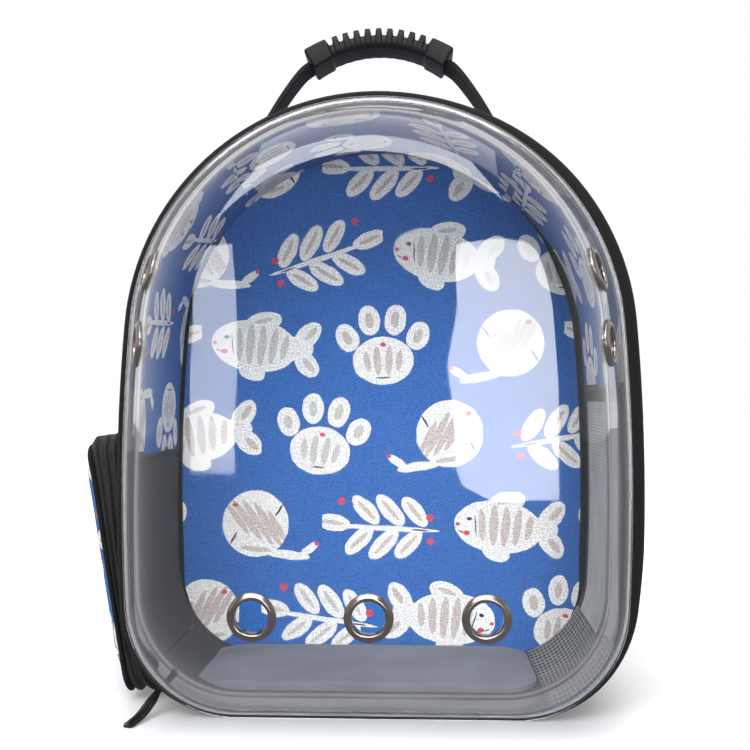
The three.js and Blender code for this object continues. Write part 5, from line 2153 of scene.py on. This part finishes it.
@dataclass
class BackSide:
    """Padded back, and a yoke, strap, ladder lock and webbing on each side."""

    palette: Palette
    width: float = 0.062
    thickness: float = 0.010
    root_x: float = 0.046
    root_z: float = 0.379
    drop: float = 0.232
    bow: float = 0.052
    spread: float = 0.032
    yoke_depth: float = 0.003
    pad_middle: float = 0.205
    pad_depth: float = 0.014
    runs: tuple[tuple[float, float, float], ...] = (
        (0, 0, 0),
        (0.06, 0.24, 0.05),
        (0.22, 0.72, 0.25),
        (0.5, 1, 0.55),
        (0.8, 0.82, 0.85),
        (1, 0.55, 1),
    )

    def build(self) -> None:
        """Makes the back from the pad outwards."""
        self.pad()
        for word, side in SIDES.items():
            self.yoke(word)
            self.strap(word, side)
            self.tail(word, side)
            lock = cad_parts[f"ladder_lock_{word}"]
            lock.data.materials.clear()
            lock.data.materials.append(self.palette["moulded_grip"])
            bevel = lock.modifiers.new("edges", "BEVEL")
            bevel.width, bevel.segments, bevel.limit_method = 0.0007, 2, "ANGLE"

    def pad(self) -> None:
        """Padded back with sewn channels."""
        inset, soft, edge_steps, crown_steps = 0.0086, 0.0075, 8, 40
        seat, rings = BACK_Y + GAP, []
        for k in range(edge_steps + 1):
            angle = math.pi / 2 * k / edge_steps
            inwards = inset + soft * (1 - math.cos(angle))
            rings.append(ring_of(FULL, seat + soft * math.sin(angle), inwards, inwards + 0.002))
        edge = rings[-1]
        middle = Vector((0, edge[0].y, self.pad_middle))
        for k in range(1, crown_steps + 1):
            share = 1 - k / crown_steps
            ring = [middle.lerp(p, max(share, 0.01)) for p in edge]
            for q in ring:
                q.y = seat + soft + self.crown(q, share) * (self.pad_depth - soft)
            rings.append(ring)
        first = [Vector((0, seat, self.pad_middle)).lerp(p, 0.02) for p in rings[0]]
        bm = loft([first, *rings], True, Cap.FLAT)
        flat_uv(bm, 0, 2)
        pad = add_piece("padded_back", bm, self.palette["air_mesh"], ["back_pad"], 70)

    def crown(self, p: Vector, share: float) -> float:
        """Height of the pad between its seams, from 0 in a seam to 1.

        Args:
            p: the place.
            share: 1 at the pad's edge and 0 in its middle.

        Returns:
            The share of the pad's depth.
        """
        seam, apart, deep = 0.0042, 0.09, 0.85
        swell = smooth_lift((1 - share) / 0.16)
        for z in (self.pad_middle - apart, self.pad_middle, self.pad_middle + apart):
            swell *= 1 - deep * math.exp(-(((p.z - z) / seam) ** 2))
        if abs(p.z - self.pad_middle) < apart:
            swell *= 1 - deep * math.exp(-((p.x / seam) ** 2))
        return swell

    def curve(self, side: int) -> list[Vector]:
        """Points of a strap's bowed run.

        Args:
            side: -1 or 1.

        Returns:
            The points from the yoke to the ladder lock.
        """
        seat = PAD_BACK_Y + 2 * GAP + self.yoke_depth + self.thickness / 2
        points = []
        for drop, bow, spread in self.runs:
            x = side * (self.root_x + spread * self.spread)
            points.append(Vector((x, seat + bow * self.bow, self.root_z - drop * self.drop)))
        return points

    def strap(self, word: str, side: int) -> None:
        """Padded strap with a bound tape along each edge.

        Args:
            word: left or right.
            side: -1 or 1.
        """
        across, steps, corners = Vector((1, 0, 0)), 84, 44
        frames, rings = curve_frames(self.curve(side), steps, across), []
        half = [self.width / 2 * (1 - 0.45 * (k / steps) ** 3) for k in range(steps + 1)]
        for k, f in enumerate(frames):
            t = k / steps
            end = smooth_lift(min(t, 1 - t) / 0.035)
            thick = self.thickness / 2 * (0.75 + 0.25 * math.sin(math.pi * t)) * (0.45 + 0.55 * end)
            ring = []
            for j in range(corners):
                c, s = math.cos(math.tau * j / corners), math.sin(math.tau * j / corners)
                u = math.copysign(abs(c) ** 0.55, c)
                seam = 0.42 * math.exp(-(((abs(u) - 0.80) / 0.05) ** 2))
                v = math.copysign(abs(s) ** 0.8, s) * (1 - 0.35 * abs(u) ** 4) * (1 - seam)
                ring.append(f.point + f.across * half[k] * u + f.out * thick * v)
            rings.append(ring)
        bm = loft(rings, True, Cap.FLAT)
        node = f"shoulder_strap_{word}"
        pad = add_piece(f"padded_strap_{word}", bm, self.palette["air_mesh"], [node], 70)
        tape = bmesh.new()
        for edge in (-1, 1):
            places = range(2, steps - 1, 4)
            line = [frames[k].point + frames[k].across * edge * (half[k] - 0.0002) for k in places]
            add_tape(tape, line, 80, across, (0.0012, 0.0026, 0.001))
        add_piece(f"strap_binding_{word}", tape, self.palette["binding_tape"])

    def yoke(self, word: str) -> None:
        """Patch that the strap is sewn on with, and its stitches.

        Args:
            word: left or right.
        """
        low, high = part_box(f"strap_yoke_{word}")
        middle, half = (low + high) / 2, (high - low) / 2

        def loop(y: float, shrink: float, corner: float, steps: int, longest: float = 1.0) -> Ring:
            """Rounded rectangle round the patch, with no edge longer than a length."""
            flat = densify(rounded(half.x - shrink, half.z - shrink, corner, steps), longest)
            return [Vector((middle.x + p.x, y, middle.z + p.y)) for p in flat]

        rows = ((low.y, 0.0), (low.y + 0.0008, 0.0), (high.y - 0.0004, 0.0003), (high.y, 0.0012))
        bm = loft([loop(y, shrink, 0.005, 5) for y, shrink in rows], True, Cap.FLAT)
        flat_uv(bm, 0, 2)
        add_piece(f"yoke_patch_{word}", bm, self.palette["webbing"], [f"strap_yoke_{word}"])
        line = loop(high.y + 0.0001, 0.003, 0.004, 4, 0.004)
        sew(f"yoke_stitches_{word}", [[*line, line[0]]], self.palette["thread"])

    def tail(self, word: str, side: int) -> None:
        """Webbing from the ladder lock to its anchor low on the back.

        Args:
            word: left or right.
            side: -1 or 1.
        """
        run, thick = self.curve(side), 0.0024
        down = (curve_point(run, 1) - curve_point(run, 1 - 1e-3)).normalized()
        start, below = run[-1] + down * (GAP + 0.0263), run[-1] + down * (GAP + 0.0356)
        anchor = Vector((side * 0.112, PAD_BACK_Y + GAP + thick / 2, 0.044))
        tail = anchor + Vector((-side * 0.004, 0.001, 0.025))
        middle = start.lerp(tail, 0.55)
        middle.y = start.y + (tail.y - start.y) * 0.7
        frames = curve_frames([start, below, middle, tail, anchor], 70, Vector((1, 0, 0)))
        band = ribbon(frames, lambda t: (0.0125, thick / 2, 0.0008))
        add_piece(
            f"strap_tail_{word}", band, self.palette["webbing"], [f"strap_webbing_{word}"]
        )


# Studio


@dataclass(frozen=True)
class Softbox:
    """A rectangular studio light."""

    name: str
    place: Place
    aim: Place
    size: Pair
    power: float

    def build(self) -> None:
        """Puts the light up."""
        data = bpy.data.lights.new(self.name, "AREA")
        data.shape, data.size, data.size_y, data.energy = "RECTANGLE", *self.size, self.power
        lamp = bpy.data.objects.new(self.name, data)
        lamp.location = self.place
        aim = Vector(self.aim) - Vector(self.place)
        lamp.rotation_euler = aim.to_track_quat("-Z", "Y").to_euler()
        lamp.visible_camera = False
        bpy.context.scene.collection.objects.link(lamp)


@dataclass
class Studio:
    """Pale floor, soft lights and the camera."""

    eye: Place = (0.030, -0.807, 0.214)
    yaw: float = math.radians(-2.36)
    pitch: float = math.radians(1.38)
    lens: float = 51.7
    # Half sizes of the bag's footprint, round which the floor has a painted contact shadow.
    footprint: Pair = (0.125, 0.082)
    boxes: tuple[Softbox, ...] = (
        Softbox("top_box", (0.0, -0.35, 2.0), (0, 0, 0.1), (2.2, 1.8), 22),
        Softbox("right_window", (0.43, -1.63, 0.352), (0.07, -0.17, 0.25), (0.40, 0.68), 6.5),
        Softbox("left_strip", (-0.63, -1.57, 0.372), (-0.09, -0.17, 0.25), (0.18, 0.60), 1.8),
        Softbox("front_fill", (-0.3, -2.4, 2.3), (0, 0, 0.2), (3.0, 1.5), 90),
    )

    def build(self) -> None:
        """Makes the floor, the lights, the surroundings and the camera."""
        self.floor()
        for box in self.boxes:
            box.build()
        self.surroundings()
        camera = bpy.data.objects.new("camera", bpy.data.cameras.new("camera"))
        camera.location = self.eye
        camera.rotation_euler = (math.pi / 2 + self.pitch, 0, -self.yaw)
        camera.data.lens, camera.data.sensor_width = self.lens, 36
        camera.data.dof.use_dof = False
        bpy.context.scene.collection.objects.link(camera)
        bpy.context.scene.camera = camera

    def floor(self) -> None:
        """Makes the pale floor, with a painted soft shadow where the bag stands, a glow that only the camera
        sees and that grows away from the bag, and a dim grey glow in reflections.
        """
        bm = bmesh.new()
        bmesh.ops.create_grid(bm, x_segments=2, y_segments=2, size=12)
        floor = new_object("floor", bm)
        paper = bpy.data.materials.new("paper")
        paper.use_nodes = True
        shader = paper.node_tree.nodes["Principled BSDF"]
        shader.inputs["Roughness"].default_value = 0.9
        shader.inputs["Emission Color"].default_value = (1, 1, 1, 1)
        t = Tree(paper.node_tree)
        path = t.node("LightPath")
        place = t.node("TexCoord").outputs["Object"]
        x, y, _ = t.parts(place)
        # Painted contact shadow: the colour darkens to grey over the bag's footprint and fades out 6 cm
        # beyond it.
        beside = [t.math("SUBTRACT", t.math("ABSOLUTE", v), half) for v, half in zip((x, y), self.footprint)]
        near = t.vector("LENGTH", t.join(*(t.math("MAXIMUM", v, 0.0) for v in beside)))
        shade = t.mix(t.spread(near, 0.0, 0.06, 0.0, 1.0), (0.36, 0.36, 0.37), (0.88, 0.88, 0.88))
        t.plug(shader.inputs["Base Color"], shade)
        glow = t.spread(t.vector("LENGTH", place), 0.2, 1.0, 0.2, 0.9)
        t.plug(shader.inputs["Emission Strength"], t.math("MULTIPLY", path.outputs["Is Camera Ray"], glow))
        dim = t.node("Emission", (0.30, 0.30, 0.31, 1), 1.0)
        both = t.node("MixShader", path.outputs["Is Glossy Ray"], shader.outputs[0], dim.outputs[0])
        t.plug(paper.node_tree.nodes["Material Output"].inputs["Surface"], both.outputs[0])
        floor.data.materials.append(paper)
        floor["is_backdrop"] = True

    def surroundings(self) -> None:
        """White to the camera, and a softer grey to what lights and mirrors the bag."""
        world = bpy.data.worlds.new("studio")
        bpy.context.scene.world = world
        world.use_nodes = True
        t = Tree(world.node_tree)
        shader = world.node_tree.nodes["Background"]
        path = t.node("LightPath")
        _, depth, height = t.parts(t.node("TexCoord").outputs["Generated"])
        side = t.math("MULTIPLY", t.spread(depth, -0.8, -0.1, 0.0, 1.0), t.spread(height, 0.3, 0.8, 1.0, 0.3))
        glossy = t.mix(side, (0.2, 0.2, 0.21), (0.85, 0.85, 0.86))
        around = t.mix(path.outputs["Is Glossy Ray"], (0.36, 0.365, 0.375), glossy)
        t.plug(shader.inputs["Color"], t.mix(path.outputs["Is Camera Ray"], around, (1.0, 1.0, 1.0)))
        shader.inputs["Strength"].default_value = 1.0
        bpy.context.scene.view_settings.view_transform = "Standard"


def write_sizes() -> None:
    """Lists the corners of the CAD box and of the visual model's box, and keeps them nowhere."""
    rows = {"cad": CAD_BOX, "visual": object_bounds()}
    {key: [list(corner) for corner in box] for key, box in rows.items()}


def main() -> None:
    """Builds the bag and its studio."""
    logging.basicConfig(level=logging.INFO, format="%(message)s")
    studio = Studio()
    studio.build()
    palette = Palette()
    palette.make()
    for part in (Trim, Body, Pocket, Handle, BackSide, ClearShell):
        LOG.info("building %s", part.__name__)
        part(palette).build()
    write_sizes()


if __name__ == "__main__":
    main()
